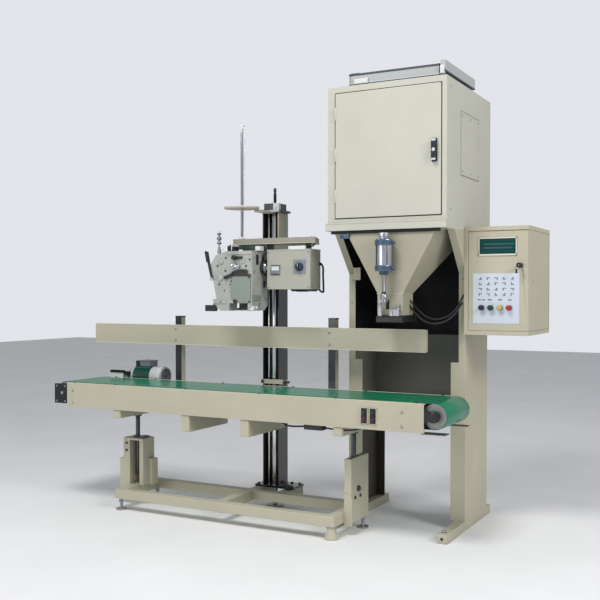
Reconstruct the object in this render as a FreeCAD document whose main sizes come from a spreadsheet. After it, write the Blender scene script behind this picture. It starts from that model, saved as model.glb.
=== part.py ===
"""Bag filling line with a bag closer sewing machine, as a parametric document.

Millimetres.  +X runs along the conveyor towards the filler, +Y runs from the
operator towards the back, +Z is up.  The origin is on the floor, on the axis of
the sewing column, at the centre of the jack foot's sole.
"""
import FreeCAD, Part
import math
import os
import re
import Sketcher

DOC = FreeCAD.newDocument("bag_filling_and_sewing_line")
SHEET = DOC.addObject("Spreadsheet::Sheet", "sizes")
SUB_PARTS = []

DIMENSIONS = {
    # general
    "running_gap": 0.05, "sheet_wall": 3,
    # floor frame of the conveyor, 50 mm square tube
    "tube_side": 50, "tube_wall": 3, "frame_floor_gap": 62,
    "frame_left": -719, "frame_right": 596, "frame_front": -491, "frame_rear": -122,
    "frame_middle": -63, "outrigger_right": 114, "outrigger_end": 60,
    "foot_radius": 28, "foot_pad": 8, "foot_bolt": 8, "flared_foot_top": 16, "flared_foot_sole": 34,
    "jack_radius": 45, "jack_stem": 14, "jack_pad": 10,
    # lift sleeves and rods that carry the deck
    "lift_left": -706, "lift_right": 614, "lift_depth": -306,
    "sleeve_top": 370, "sleeve_lid": 12, "sleeve_wall": 5, "lift_rod_radius": 12, "lift_rod_bottom": 160,
    "left_sleeve_reach": 62, "left_sleeve_half": 50, "left_slot_half": 36, "left_gusset": 24, "left_gusset_top": 255,
    "right_sleeve_front": -375, "right_sleeve_rear": -170, "right_sleeve_bottom": 60,
    "shoe_reach": 6, "shoe_bottom": 48, "shoe_top": 200, "shoe_corner": 18, "sleeve_foot_inset": 25,
    # sewing column
    "column_side": 100, "column_wall": 6, "flange_thickness": 12, "flange_left": -93, "flange_right": 144,
    "column_top": 1606, "cap_side": 124, "cap_height": 50, "cap_inset_x": 20, "cap_inset_y": 12,
    "thick_bar_radius": 19, "thick_bar_offset": 8, "thin_bar_radius": 8, "thin_bar_offset": -30, "bar_depth": -16,
    "screw_x": -14, "screw_depth": 22, "screw_radius": 8, "screw_top": 1745, "screw_boss": 30, "screw_step": 2,
    # conveyor deck
    "rail_bottom": 541, "rail_top": 673, "rail_left": -1051, "rail_right": 1043,
    "deck_front": -494, "deck_rear": -114, "rail_flange": 27, "rail_wall": 4,
    "cross_width": 50, "cross_inset": 8, "cross_depth": 44, "middle_cross_depth": 86,
    "first_cross": -257, "second_cross": 101, "bed_half_length": 1020,
    "belt_width": 320, "belt_thickness": 3, "drum_radius": 56.9,
    "roller_reach": 1085, "roller_height": 616, "shaft_radius": 12,
    "bearing_thickness": 24, "bearing_reach": 1143, "tail_block_bottom": 556, "tail_block_top": 664,
    "head_arm_half": 22, "head_bearing": 27, "sole_width": 60, "sole_thickness": 3,
    # bag guide
    "guide_left": -1148, "guide_right": 923, "guide_front": -142, "guide_bottom": 880, "guide_top": 991,
    "post_side": 40, "left_post": -566, "right_post": 401, "post_top": 1035, "post_cap": 4, "guide_wall": 2,
    # conveyor drive
    "drive_depth": -42, "drive_height": 684, "motor_left": -925, "motor_right": -712, "motor_radius": 53,
    "cowl_radius": 56, "cowl_length": 76, "motor_flange": 12, "terminal_start": 28, "terminal_length": 100,
    "terminal_half": 34, "terminal_low": 40, "terminal_high": 88, "motor_foot_half": 45, "shelf_drop": 8,
    "shelf_thickness": 8, "shelf_reach": 60, "gearbox_left": -995, "gearbox_half": 42, "gearbox_low": 38,
    "gearbox_high": 22, "output_drop": 27, "output_radius": 10, "output_gap": 2,
    "sprocket_radius": 32, "sprocket_depth": -105, "sprocket_width": 8, "chain_width": 6, "chain_thickness": 7,
    # start and stop stations
    "station_left": 739, "station_pitch": 44, "station_width": 29, "station_low": 569, "station_high": 639,
    "station_proud": 7, "station_button": 9, "station_button_low": 588, "station_button_high": 620,
    "station_button_proud": 4, "station_button_root": 2,
    # filler stand
    "stand_left": 460, "stand_right": 1088, "stand_front": -30, "stand_rear": 337, "stand_top": 1472,
    "stand_foot_front": -300, "stand_foot_rear": 400, "stand_foot_height": 45,
    "leg_width": 76, "leg_step": 828, "post_width": 36, "knee_height": 1270, "knee_front": -205,
    "rear_panel_bottom": 600,
    # weighing cabinet
    "cabinet_left": 480, "cabinet_front": -322, "cabinet_rear": 376, "cabinet_top": 2172,
    "band_top": 1510, "band_proud": 10, "floor_hole_inset": 10, "roof_hole_inset": 45,
    "door_left": 521, "door_right": 1063, "door_bottom": 1532, "door_top": 2140, "door_gap": 2,
    "door_proud": 5, "door_depth": 24, "door_wall": 2,
    "handle_middle": 1031, "handle_height": 1830, "handle_boss": 14, "handle_boss_length": 12,
    "handle_half_width": 12, "handle_half_height": 48, "handle_reach": 18,
    # inlet
    "inlet_left": 575, "inlet_right": 1040, "inlet_front": -280, "inlet_rear": 180, "inlet_bottom": 2185,
    "inlet_top": 2235, "inlet_flange": 40, "inlet_plate": 6, "inlet_bolt": 5.5, "inlet_bolt_inset": 17,
    # hopper and spout
    "hopper_front": -320, "hopper_rear": 170,
    "spout_left": 744, "spout_side": 130, "spout_front": -320, "spout_top": 1168, "spout_bottom": 1050,
    # bag clamp
    "jaw_left": 746, "jaw_right": 884, "jaw_bottom": 1030, "jaw_top": 1060, "jaw_thickness": 20, "jaw_gap": 4,
    "cylinder_x": 797, "cylinder_depth": -368, "cylinder_low": 1274, "cylinder_high": 1419,
    "cap_radius": 42, "barrel_radius": 36, "bore_radius": 32, "cap_length": 25, "cylinder_bracket": 30,
    "piston_rod_radius": 8, "rod_end_height": 1135, "rod_end_length": 26, "rod_end_radius": 14,
    "piston_length": 20, "piston_clearance": 4,
    # weigh bucket
    "bucket_left": 640, "bucket_right": 970, "bucket_front": -220, "bucket_rear": 80,
    "bucket_bottom": 1700, "bucket_top": 1950, "bucket_wall": 2, "gate_gap": 1, "gate_thickness": 4,
    "beam_front": -90, "beam_rear": -50, "beam_drop": 30, "beam_height": 30,
    # control box
    "control_right": 1402, "control_front": -62, "control_rear": 366, "control_bottom": 968, "control_top": 1489,
    "control_wall": 2, "door_margin": 20, "door_side_margin": 12, "door_recess": 8, "door_inset": 4,
    "panel_thickness": 3, "control_opening": 30,
    "panel_button": 11, "panel_button_first": 1176, "panel_button_pitch": 44.7, "panel_button_height": 1100,
    "panel_button_proud": 14, "panel_button_root": 12,
    "key_x": 1363, "key_height": 1301, "key_radius": 9, "key_proud": 8, "key_root": 14, "key_reach": 34,
    "key_half_width": 1.5, "key_half_height": 9,
    # sewing carriage and arm
    "carriage_bottom": 1340, "carriage_top": 1440, "carriage_gap": 2, "carriage_inset": 4, "neck_front": -200,
    "arm_left": -83, "arm_right": 400, "arm_right_rear": 325, "arm_front": -300, "arm_rear": -110,
    "arm_bottom": 1421, "arm_top": 1451, "arm_wall": 3, "arm_pad_front": -202,
    "head_hanger_left": -30, "head_hanger_right": 60, "head_hanger_front": -290, "head_hanger_rear": -240,
    "switch_hanger_front": -280, "switch_hanger_rear": -210, "switch_hanger_left": 30, "switch_hanger_right": 40,
    # sewing head
    "head_left": -172, "head_right": 85, "head_front": -390, "head_rear": -230, "head_top": 1385,
    "throat_top": 1118, "head_bottom": 1079, "needle_height": 1100,
    "bag_slot_front": -318, "bag_slot_rear": -302, "main_shaft_depth": -280, "main_shaft_height": 1300,
    "main_shaft_radius": 8, "wheel_radius": 32, "wheel_left": 92, "wheel_width": 20,
    "crank_left": -60, "crank_width": 10, "crank_radius": 18,
    "shoulder_low": 1305, "shoulder_high": 1364, "chin_height": 1105, "jaw_height": 1108, "neck_low": 1143,
    "neck_middle": 1196, "neck_high": 1249, "cavity_low": 1132, "cavity_high": 1355, "cavity_wall": 10,
    "throat_left": -50, "throat_right": 60, "looper_room_half": 60, "looper_room_top": 1122,
    "needle_slot_half": 10, "needle_slot_depth": 62, "needle_slot_top": 1152, "needle_hole": 3,
    "feed_half": 25, "feed_low": 1104, "feed_high": 1114,
    "cover_left": -40, "cover_corner": 1150, "cover_top": 1257, "cover_inset": 6, "cover_thickness": 5,
    "needle_bar_height": 1141, "needle_bar_radius": 6, "needle_bar_front": 6, "needle_bar_length": 49,
    "needle_radius": 1.2, "needle_gap": 8,
    "looper_x": -40, "looper_depth": -262, "looper_low": 1084, "looper_high": 1100, "looper_hub": 6,
    "looper_reach": 26, "looper_half": 3, "looper_tip": 8,
    "foot_half": 32, "foot_front": -330, "foot_rear": -322, "foot_low": 1084, "foot_high": 1114, "foot_hole": 4,
    "lever_x": -152, "lever_height": 1240,
    # sewing motor
    "stitch_motor_left": 165, "stitch_motor_right": 310, "stitch_motor_depth": -120,
    "stitch_motor_height": 1232, "stitch_motor_radius": 52, "motor_pulley_radius": 25,
    "motor_step": 10, "motor_step_drop": 8, "motor_shaft_radius": 7, "motor_shaft_length": 30,
    "motor_hanger_left": 40, "motor_hanger_right": 30, "motor_hanger_front": 30, "motor_hanger_rear": 5,
    "vee_belt_thickness": 6, "vee_belt_width": 10,
    # switch box
    "switch_left": 122, "switch_right": 372, "switch_front": -300, "switch_rear": -187,
    "switch_bottom": 1189, "switch_top": 1390, "switch_wall": 2,
    "rotary_x": 311, "rotary_height": 1302, "rotary_radius": 20, "rotary_spindle": 5, "rotary_low": 4,
    "rotary_high": 16, "rotary_pointer": 24, "rotary_pointer_half": 5, "rotary_root": 12,
    "rocker_x": 172, "rocker_height": 1287, "rocker_half_width": 22, "rocker_half_height": 19,
    "rocker_proud": 6, "rocker_root": 8, "rocker_clearance": 4, "rocker_side_gap": 2,
    # thread stand
    "thread_x": -60, "thread_depth": -250, "thread_rod_radius": 6, "thread_rod_top": 2050,
    "tray_radius": 92, "tray_bottom": 1612, "tray_height": 9, "tray_wall": 2, "tray_hole": 7,
    "tray_arm_left": -27, "tray_arm_right": 14, "tray_arm_lap": 20,
}


def fill_sheet():
    """Write every driving dimension into the spreadsheet under its own alias."""
    for row, (alias, value) in enumerate(DIMENSIONS.items(), start=1):
        SHEET.set(f"A{row}", alias)
        SHEET.set(f"B{row}", str(value))
        SHEET.setAlias(f"B{row}", alias)
    DOC.recompute()


def linked(formula):
    """Turn a formula in plain dimension names into one that reads the sheet."""
    return re.sub(r"[a-z_]{3,}", lambda word: "sizes." + word.group(), str(formula))


def value_of(name):
    """The sheet's current value of one dimension."""
    return float(SHEET.get(name))


def bind(item, prop, formula):
    """Drive one property of an object by a formula over the sheet."""
    item.setExpression(prop, linked(formula))


def bind_place(item, place):
    """Drive an object's position by three formulas."""
    for axis, formula in zip("xyz", place):
        bind(item, f"Placement.Base.{axis}", formula)


TURNS = {
    "x": FreeCAD.Rotation(FreeCAD.Vector(0, 1, 0), 90),
    "y": FreeCAD.Rotation(FreeCAD.Vector(1, 0, 0), -90),
    "z": FreeCAD.Rotation(),
}


def box(x, y, z):
    """A block between two formulas on each axis."""
    block = DOC.addObject("Part::Box", "block")
    for prop, (low, high) in zip(("Length", "Width", "Height"), (x, y, z)):
        bind(block, prop, f"({high}) - ({low})")
    bind_place(block, [low for low, high in (x, y, z)])
    return block


def rod(axis, centre, radius, span):
    """A cylinder along one axis; centre gives the other two coordinates in order."""
    bar = DOC.addObject("Part::Cylinder", "rod")
    bar.Placement = FreeCAD.Placement(FreeCAD.Vector(), TURNS[axis])
    bind(bar, "Radius", radius)
    bind(bar, "Height", f"({span[1]}) - ({span[0]})")
    place = list(centre)
    place.insert("xyz".index(axis), span[0])
    bind_place(bar, place)
    return bar


def cone(centre, low_radius, high_radius, span):
    """An upright cone between two heights."""
    taper = DOC.addObject("Part::Cone", "taper")
    bind(taper, "Radius1", low_radius)
    bind(taper, "Radius2", high_radius)
    bind(taper, "Height", f"({span[1]}) - ({span[0]})")
    bind_place(taper, [centre[0], centre[1], span[0]])
    return taper


def wedge(low_x, low_y, low_z, high_x, high_y, high_z):
    """A four-sided frustum from a rectangle at low_z to a rectangle at high_z."""
    frustum = DOC.addObject("Part::Wedge", "frustum")
    frustum.Placement = FreeCAD.Placement(FreeCAD.Vector(), FreeCAD.Rotation(FreeCAD.Vector(1, 0, 0), 90))
    limits = {
        "Xmin": low_x[0], "Xmax": low_x[1], "Zmin": f"-({low_y[1]})", "Zmax": f"-({low_y[0]})",
        "X2min": high_x[0], "X2max": high_x[1], "Z2min": f"-({high_y[1]})", "Z2max": f"-({high_y[0]})",
        "Ymin": low_z, "Ymax": high_z,
    }
    for prop, formula in limits.items():
        bind(frustum, prop, formula)
    return frustum


def fuse(solids):
    """Several solids as one shape; solids that don't touch stay separate."""
    if len(solids) == 1:
        return solids[0]
    joined = DOC.addObject("Part::MultiFuse", "joined")
    joined.Shapes = solids
    return joined


def cut(base, tools):
    """A shape with other shapes taken out of it."""
    result = DOC.addObject("Part::Cut", "result")
    result.Base = base
    result.Tool = fuse(tools)
    return result


def sub_part(item, label):
    """Name a finished sub-part and put it on the list to be written."""
    item.Label = label
    SUB_PARTS.append(item)
    return item


def origin_plane(body, role):
    """One of a body's own origin planes."""
    return next(feature for feature in body.Origin.OriginFeatures if feature.Role == role)


def outline_sketch(body, role, outline, offset="0"):
    """A closed outline of straight lines whose corners are driven by formulas."""
    sketch = body.newObject("Sketcher::SketchObject", "outline")
    sketch.AttachmentSupport = (origin_plane(body, role), [""])
    sketch.MapMode = "FlatFace"
    bind(sketch, "AttachmentOffset.Base.z", offset)
    count = len(outline)
    rough = [FreeCAD.Vector(100 * math.cos(2 * math.pi * k / count), 100 * math.sin(2 * math.pi * k / count), 0)
             for k in range(count)]
    for k in range(count):
        sketch.addGeometry(Part.LineSegment(rough[k], rough[(k + 1) % count]), False)
    for k in range(count):
        sketch.addConstraint(Sketcher.Constraint("Coincident", k, 2, (k + 1) % count, 1))
    for k, corner in enumerate(outline):
        for kind, start, formula in zip(("DistanceX", "DistanceY"), (rough[k].x, rough[k].y), corner):
            number = sketch.addConstraint(Sketcher.Constraint(kind, -1, 1, k, 1, start))
            sketch.setExpression(f"Constraints[{number}]", linked(formula))
    return sketch


def prism(role, outline, low, high):
    """A padded outline between two formulas along the plane's own axis of the frame."""
    body = DOC.addObject("PartDesign::Body", "prism")
    offset = f"-({high})" if role == "XZ_Plane" else low
    sketch = outline_sketch(body, role, outline, offset)
    pad = body.newObject("PartDesign::Pad", "pad")
    pad.Profile = sketch
    bind(pad, "Length", f"({high}) - ({low})")
    body.Tip = pad
    return body


def turned(axis, place, steps, bore="0"):
    """A stepped round piece; steps are (start, end, radius) along the axis from place."""
    body = DOC.addObject("PartDesign::Body", "turned")
    outline = [(steps[0][0], bore)]
    for start, end, radius in steps:
        outline += [(start, radius), (end, radius)]
    outline.append((steps[-1][1], bore))
    sketch = outline_sketch(body, "XY_Plane", outline)
    spin = body.newObject("PartDesign::Revolution", "spin")
    spin.Profile = sketch
    spin.ReferenceAxis = (sketch, ["H_Axis"])
    spin.Angle = 360
    body.Tip = spin
    lean = {"x": FreeCAD.Rotation(), "y": FreeCAD.Rotation(FreeCAD.Vector(0, 0, 1), 90),
            "z": FreeCAD.Rotation(FreeCAD.Vector(0, 1, 0), -90)}
    body.Placement = FreeCAD.Placement(FreeCAD.Vector(), lean[axis])
    bind_place(body, place)
    return body


def loop_face(centres, radii, grow, depth):
    """The face inside an open belt's line around two wheels, parallel to the XZ plane at depth."""
    near, far = [FreeCAD.Vector(x, depth, z) for x, z in centres]
    near_radius, far_radius = [radius + grow for radius in radii]
    along = far - near
    distance = along.Length
    heading = math.atan2(along.z, along.x)
    lean = math.acos((near_radius - far_radius) / distance)

    def rim(centre, radius, angle):
        return centre + FreeCAD.Vector(radius * math.cos(angle), 0, radius * math.sin(angle))

    upper, lower = heading + lean, heading - lean
    edges = [
        Part.makeLine(rim(near, near_radius, upper), rim(far, far_radius, upper)),
        Part.Arc(rim(far, far_radius, upper), rim(far, far_radius, heading), rim(far, far_radius, lower)).toShape(),
        Part.makeLine(rim(far, far_radius, lower), rim(near, near_radius, lower)),
        Part.Arc(rim(near, near_radius, lower), rim(near, near_radius, heading + math.pi),
                 rim(near, near_radius, upper)).toShape(),
    ]
    return Part.Face(Part.Wire(edges))


def belt_loop(centres, radii, thickness, width):
    """An open belt or chain around two wheels, centred on the XZ plane."""
    gap = 2 * value_of("running_gap")
    outer = loop_face(centres, radii, gap + thickness, -width / 2)
    inner = loop_face(centres, radii, gap, -width / 2)
    band = outer.cut(inner).extrude(FreeCAD.Vector(0, width, 0))
    loop = DOC.addObject("Part::Feature", "loop")
    loop.Shape = band
    return loop


# ---------------------------------------------------------------- floor frame

FRAME_TOP = "(frame_floor_gap + tube_side)"


def frame_tubes(inset):
    """The tubes of the floor frame, shrunk by inset for the hollow inside."""
    low, high = f"frame_floor_gap + {inset}", f"{FRAME_TOP} - {inset}"

    def tube(x_low, x_high, y_low, y_high):
        return box((f"{x_low} + {inset}", f"{x_high} - {inset}"), (f"{y_low} + {inset}", f"{y_high} - {inset}"),
                   (low, high))

    return [
        tube("frame_left", "frame_right", "frame_front", "frame_front + tube_side"),
        tube("frame_left", "frame_right", "frame_rear - tube_side", "frame_rear"),
        tube("frame_left", "frame_left + tube_side", "frame_front", "frame_rear"),
        tube("frame_right - tube_side", "frame_right", "frame_front", "frame_rear"),
        tube("frame_middle - tube_side/2", "frame_middle + tube_side/2", "frame_front", "outrigger_end"),
        tube("outrigger_right - tube_side/2", "outrigger_right + tube_side/2", "frame_rear - tube_side",
             "outrigger_end"),
    ]


def base_frame():
    sub_part(cut(fuse(frame_tubes("0")), frame_tubes("tube_wall")), "base_frame")


def levelling_feet():
    """Bolt feet at the left and under the right sleeve, a flared foot and the jack foot of the column."""
    half = "tube_side/2"
    left, right = f"frame_left + {half}", f"frame_right - {half}"
    front, rear = f"frame_front + {half}", f"frame_rear - {half}"
    feet = []
    for x, y in ((left, front), (left, rear)):
        feet.append(fuse([rod("z", (x, y), "foot_radius", ("0", "foot_pad")),
                          rod("z", (x, y), "foot_bolt", ("0", "frame_floor_gap"))]))
    feet.append(cone((right, front), "flared_foot_sole", "flared_foot_top", ("0", "frame_floor_gap")))
    feet.append(fuse([rod("z", ("0", "0"), "jack_radius", ("0", "jack_pad")),
                      rod("z", ("0", "0"), "jack_stem", ("0", FRAME_TOP))]))
    sleeve_bolt = ("lift_right", "right_sleeve_rear - sleeve_foot_inset")
    feet.append(fuse([rod("z", sleeve_bolt, "foot_radius", ("0", "foot_pad")),
                      rod("z", sleeve_bolt, "foot_bolt", ("0", "right_sleeve_bottom"))]))
    sub_part(fuse(feet), "levelling_feet")


def left_sleeve():
    """Upright channel, open to the front, with a lid that guides the rod and a gusset on each side."""
    front, rear = "lift_depth - left_sleeve_half", "lift_depth + left_sleeve_half"
    left, right = "lift_left - left_sleeve_reach", "lift_left + left_sleeve_reach + sleeve_lid"
    outer = box((left, right), (front, rear), (FRAME_TOP, "sleeve_top"))
    slot = box(("lift_left - left_slot_half/2", "lift_left + left_slot_half + sleeve_lid"),
               (f"{front} - 1", f"{rear} - sleeve_lid"), (f"{FRAME_TOP} - 1", "sleeve_top - sleeve_lid"))
    guide = rod("z", ("lift_left", "lift_depth"), "lift_rod_radius + running_gap",
                ("sleeve_top - sleeve_lid - 1", "sleeve_top + 1"))
    gussets = [
        box((f"{left} - left_gusset", left), (front, rear), ("frame_floor_gap", "left_gusset_top")),
        box((f"{left} - left_gusset", "frame_left"), (front, rear), ("frame_floor_gap", FRAME_TOP)),
        box((right, f"{right} + left_gusset"), ("lift_depth", rear), (FRAME_TOP, "left_gusset_top")),
    ]
    return [cut(outer, [slot, guide])] + gussets


def right_sleeve():
    """Narrow deep box beside the frame with a chamfered shoe at its front."""
    left, right = "frame_right", "2*lift_right - frame_right"
    front, rear, wall = "right_sleeve_front", "right_sleeve_rear", "sleeve_wall"
    outer = box((left, right), (front, rear), ("right_sleeve_bottom", "sleeve_top"))
    hollow = box((f"{left} + {wall}", f"{right} - {wall}"), (f"{front} + {wall}", f"{rear} - {wall}"),
                 (f"right_sleeve_bottom + {wall}", "sleeve_top - sleeve_lid"))
    guide = rod("z", ("lift_right", "lift_depth"), "lift_rod_radius + running_gap",
                ("sleeve_top - sleeve_lid - 1", "sleeve_top + 1"))
    shoe_right, corner = f"{right} + shoe_reach", "shoe_corner"
    shoe = prism("XZ_Plane", [
        (left, "shoe_bottom"), (shoe_right, "shoe_bottom"), (shoe_right, f"shoe_top - {corner}"),
        (f"{shoe_right} - {corner}", "shoe_top"), (left, "shoe_top")], f"{front} - shoe_reach", front)
    return [cut(outer, [hollow, guide]), shoe]


def lift_sleeves():
    """The left sleeve stands on the frame, the right one beside it."""
    sub_part(fuse(left_sleeve() + right_sleeve()), "lift_sleeves")


# -------------------------------------------------------------- sewing column

def sewing_column():
    """Channel column, open to the front, welded to a floor flange and a cap block."""
    half, wall = "column_side/2", "column_wall"
    inner = f"({half} - {wall})"
    bottom = f"{FRAME_TOP} + flange_thickness"
    channel = prism("XY_Plane", [
        (f"-{half}", f"-{half}"), (f"-{inner}", f"-{half}"), (f"-{inner}", inner), (inner, inner),
        (inner, f"-{half}"), (half, f"-{half}"), (half, half), (f"-{half}", half)], bottom, "column_top")
    flange = box(("flange_left", "flange_right"), ("-cap_side/2", "cap_side/2"), (FRAME_TOP, bottom))
    cap = box(("-cap_side/2", "cap_side/2"), ("-cap_side/2", "cap_side/2"),
              ("column_top", "column_top + cap_height/4"))
    block = box(("-cap_side/2 + cap_inset_x", "cap_side/2 - cap_inset_x"),
                ("-cap_side/2 + cap_inset_y", "cap_side/2 - cap_inset_y"),
                ("column_top + cap_height/4", "column_top + cap_height"))
    screw_hole = rod("z", ("screw_x", "screw_depth"), "screw_radius + running_gap",
                     ("column_top - 1", "column_top + cap_height + 1"))
    sub_part(cut(fuse([channel, flange, cap, block]), [screw_hole]), "sewing_column")


def guide_bars():
    span = (f"{FRAME_TOP} + flange_thickness", "column_top")
    sub_part(fuse([rod("z", ("thin_bar_offset", "bar_depth"), "thin_bar_radius", span),
                   rod("z", ("thick_bar_offset", "bar_depth"), "thick_bar_radius", span)]), "guide_bars")


def lead_screw():
    """Plain stand-in for the threaded spindle, stepped down at its top for the crank."""
    bottom, step = f"{FRAME_TOP} + flange_thickness + 1", "screw_top - screw_boss"
    steps = [(bottom, step, "screw_radius"), (step, "screw_top", "screw_radius - screw_step")]
    sub_part(turned("z", ("screw_x", "screw_depth", "0"), steps), "lead_screw")


def thread_tray():
    """Cone tray: a shallow dish on an arm from the column's cap."""
    centre = ("thread_x", "thread_depth")
    dish = rod("z", centre, "tray_radius", ("tray_bottom", "tray_bottom + tray_height"))
    hollow = rod("z", centre, "tray_radius - tray_wall",
                 ("tray_bottom + tray_wall", "tray_bottom + tray_height + 1"))
    hole = rod("z", centre, "tray_hole", ("tray_bottom - 1", "tray_bottom + tray_wall + 1"))
    arm = box(("tray_arm_left", "tray_arm_right"), ("thread_depth + tray_radius - tray_arm_lap", "-cap_side/2"),
              ("column_top", "tray_bottom"))
    sub_part(fuse([cut(dish, [hollow, hole]), arm]), "thread_tray")


# --------------------------------------------------------------- filler stand

def stand_side(outer, direction):
    """One side of the stand: a folded sheet from the floor to the knee, on its floor tube."""
    def across(width):
        inner = f"{outer} + {direction}*({width})"
        return (outer, inner) if direction > 0 else (inner, outer)

    wall, front, rear = "sheet_wall", "stand_front", "stand_rear"
    sheet = prism("YZ_Plane", [
        (front, "stand_foot_height"), (rear, "stand_foot_height"), (rear, "stand_top"),
        ("knee_front", "stand_top"), (front, "knee_height")], *across(wall))
    knee_flange = prism("YZ_Plane", [
        (front, "knee_height"), (f"{front} + {wall}", "knee_height"),
        (f"knee_front + 2*{wall}", "stand_top"), ("knee_front", "stand_top")],
        *across("post_width"))
    return [
        box(across("tube_side"), ("stand_foot_front", "stand_foot_rear"), ("0", "stand_foot_height")),
        box(across("leg_width"), (front, f"{front} + {wall}"), ("stand_foot_height", "leg_step")),
        box(across("post_width"), (front, f"{front} + {wall}"), ("leg_step", "knee_height")),
        box(across("tube_side"), (f"{rear} - {wall}", rear), ("stand_foot_height", "stand_top")),
        sheet, knee_flange,
    ]


def filler_frame():
    inner = ("stand_left + sheet_wall", "stand_right - sheet_wall")
    panel = box(inner, ("stand_rear - sheet_wall", "stand_rear"), ("rear_panel_bottom", "stand_top"))
    tie = box(inner, ("stand_rear - tube_side", "stand_rear"),
              ("rear_panel_bottom", "rear_panel_bottom + sheet_wall"))
    sub_part(fuse(stand_side("stand_left", 1) + stand_side("stand_right", -1) + [panel, tie]), "filler_frame")


def cabinet_shell():
    """Sheet-steel cabinet with a bottom band, a door opening and openings in its floor and roof.

    The band is flush on the right, where the control box hangs.
    """
    wall, proud = "sheet_wall", "band_proud"
    outer = box(("cabinet_left", "stand_right"), ("cabinet_front", "cabinet_rear"), ("stand_top", "cabinet_top"))
    band = box((f"cabinet_left - {proud}", "stand_right"),
               (f"cabinet_front - {proud}", f"cabinet_rear + {proud}"), ("stand_top", "band_top"))
    inside = box((f"cabinet_left + {wall}", f"stand_right - {wall}"),
                 (f"cabinet_front + {wall}", f"cabinet_rear - {wall}"),
                 (f"stand_top + {wall}", f"cabinet_top - {wall}"))
    doorway = box(("door_left", "door_right"), (f"cabinet_front - {proud} - 1", f"cabinet_front + {wall} + 1"),
                  ("door_bottom", "door_top"))
    floor_inset, roof_inset = "floor_hole_inset", "roof_hole_inset"
    floor_hole = box((f"inlet_left + {floor_inset}", f"inlet_right - {floor_inset}"),
                     (f"hopper_front + {floor_inset}", f"hopper_rear - {floor_inset}"),
                     ("stand_top - 1", f"stand_top + {wall} + 1"))
    roof_hole = box((f"inlet_left + {roof_inset}", f"inlet_right - {roof_inset}"),
                    (f"inlet_front + {roof_inset}", f"inlet_rear - {roof_inset}"),
                    (f"cabinet_top - {wall} - 1", "cabinet_top + 1"))
    sub_part(cut(fuse([outer, band]), [inside, doorway, floor_hole, roof_hole]), "cabinet_shell")


def cabinet_door():
    """Pressed door pan, open at the back."""
    left, right = "door_left + door_gap", "door_right - door_gap"
    low, high = "door_bottom + door_gap", "door_top - door_gap"
    front, rear = "cabinet_front - door_proud", "cabinet_front - door_proud + door_depth"
    pan = box((left, right), (front, rear), (low, high))
    wall = "door_wall"
    inside = box((f"{left} + {wall}", f"{right} - {wall}"), (f"{front} + {wall}", f"{rear} + 1"),
                 (f"{low} + {wall}", f"{high} - {wall}"))
    sub_part(cut(pan, [inside]), "cabinet_door")


def door_handle():
    """Swing handle of the cabinet door's lock: a boss and a long grip."""
    face = "cabinet_front - door_proud"
    boss = rod("y", ("handle_middle", "handle_height"), "handle_boss", (f"{face} - handle_boss_length", face))
    grip = box(("handle_middle - handle_half_width", "handle_middle + handle_half_width"),
               (f"{face} - handle_reach", f"{face} - handle_boss_length"),
               ("handle_height - handle_half_height", "handle_height + handle_half_height"))
    sub_part(fuse([boss, grip]), "door_handle")


def inlet_block(inset, low, high):
    """A block over the inlet's outline, shrunk by inset."""
    return box((f"inlet_left + {inset}", f"inlet_right - {inset}"),
               (f"inlet_front + {inset}", f"inlet_rear - {inset}"), (low, high))


def inlet_frame():
    """Inlet flange of channel section on a collar, with a bolt hole in each corner."""
    low, high, plate = "inlet_bottom", "inlet_top", "inlet_plate"
    solids = [
        inlet_block("0", f"{high} - {plate}", high),
        inlet_block("0", low, f"{low} + {plate}"),
        inlet_block("inlet_flange - inlet_plate", "cabinet_top", f"{high} - {plate}"),
    ]
    opening = inlet_block("inlet_flange", "cabinet_top - 1", f"{high} + 1")
    inset = "inlet_bolt_inset"
    holes = [rod("z", (x, y), "inlet_bolt", (f"{high} - {plate} - 1", f"{high} + 1"))
             for x in (f"inlet_left + {inset}", f"inlet_right - {inset}")
             for y in (f"inlet_front + {inset}", f"inlet_rear - {inset}")]
    sub_part(cut(fuse(solids), [opening] + holes), "inlet_frame")


def hopper_volume(inset):
    """The hopper and spout as one solid, shrunk sideways by inset."""
    spout_x = (f"spout_left + {inset}", f"spout_left + spout_side - {inset}")
    spout_y = (f"spout_front + {inset}", f"spout_front + spout_side - {inset}")
    funnel = wedge(spout_x, spout_y, "spout_top",
                   (f"inlet_left + {inset}", f"inlet_right - {inset}"),
                   (f"hopper_front + {inset}", f"hopper_rear - {inset}"), "stand_top")
    return [funnel, box(spout_x, spout_y, ("spout_bottom", "spout_top"))]


def hopper():
    """Discharge hopper that narrows to the square bagging spout."""
    sub_part(cut(fuse(hopper_volume("0")), hopper_volume("sheet_wall")), "hopper")


def clamp_jaw(label, low, high):
    bar = box(("jaw_left", "jaw_right"), (low, high), ("jaw_bottom", "jaw_top"))
    sub_part(bar, label)


def clamp_jaws():
    """Padded bars in front of and behind the spout that pinch the bag's mouth against it."""
    clamp_jaw("clamp_jaw_front", "spout_front - jaw_gap - jaw_thickness", "spout_front - jaw_gap")
    back = "spout_front + spout_side + jaw_gap"
    clamp_jaw("clamp_jaw_rear", back, f"{back} + jaw_thickness")


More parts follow.
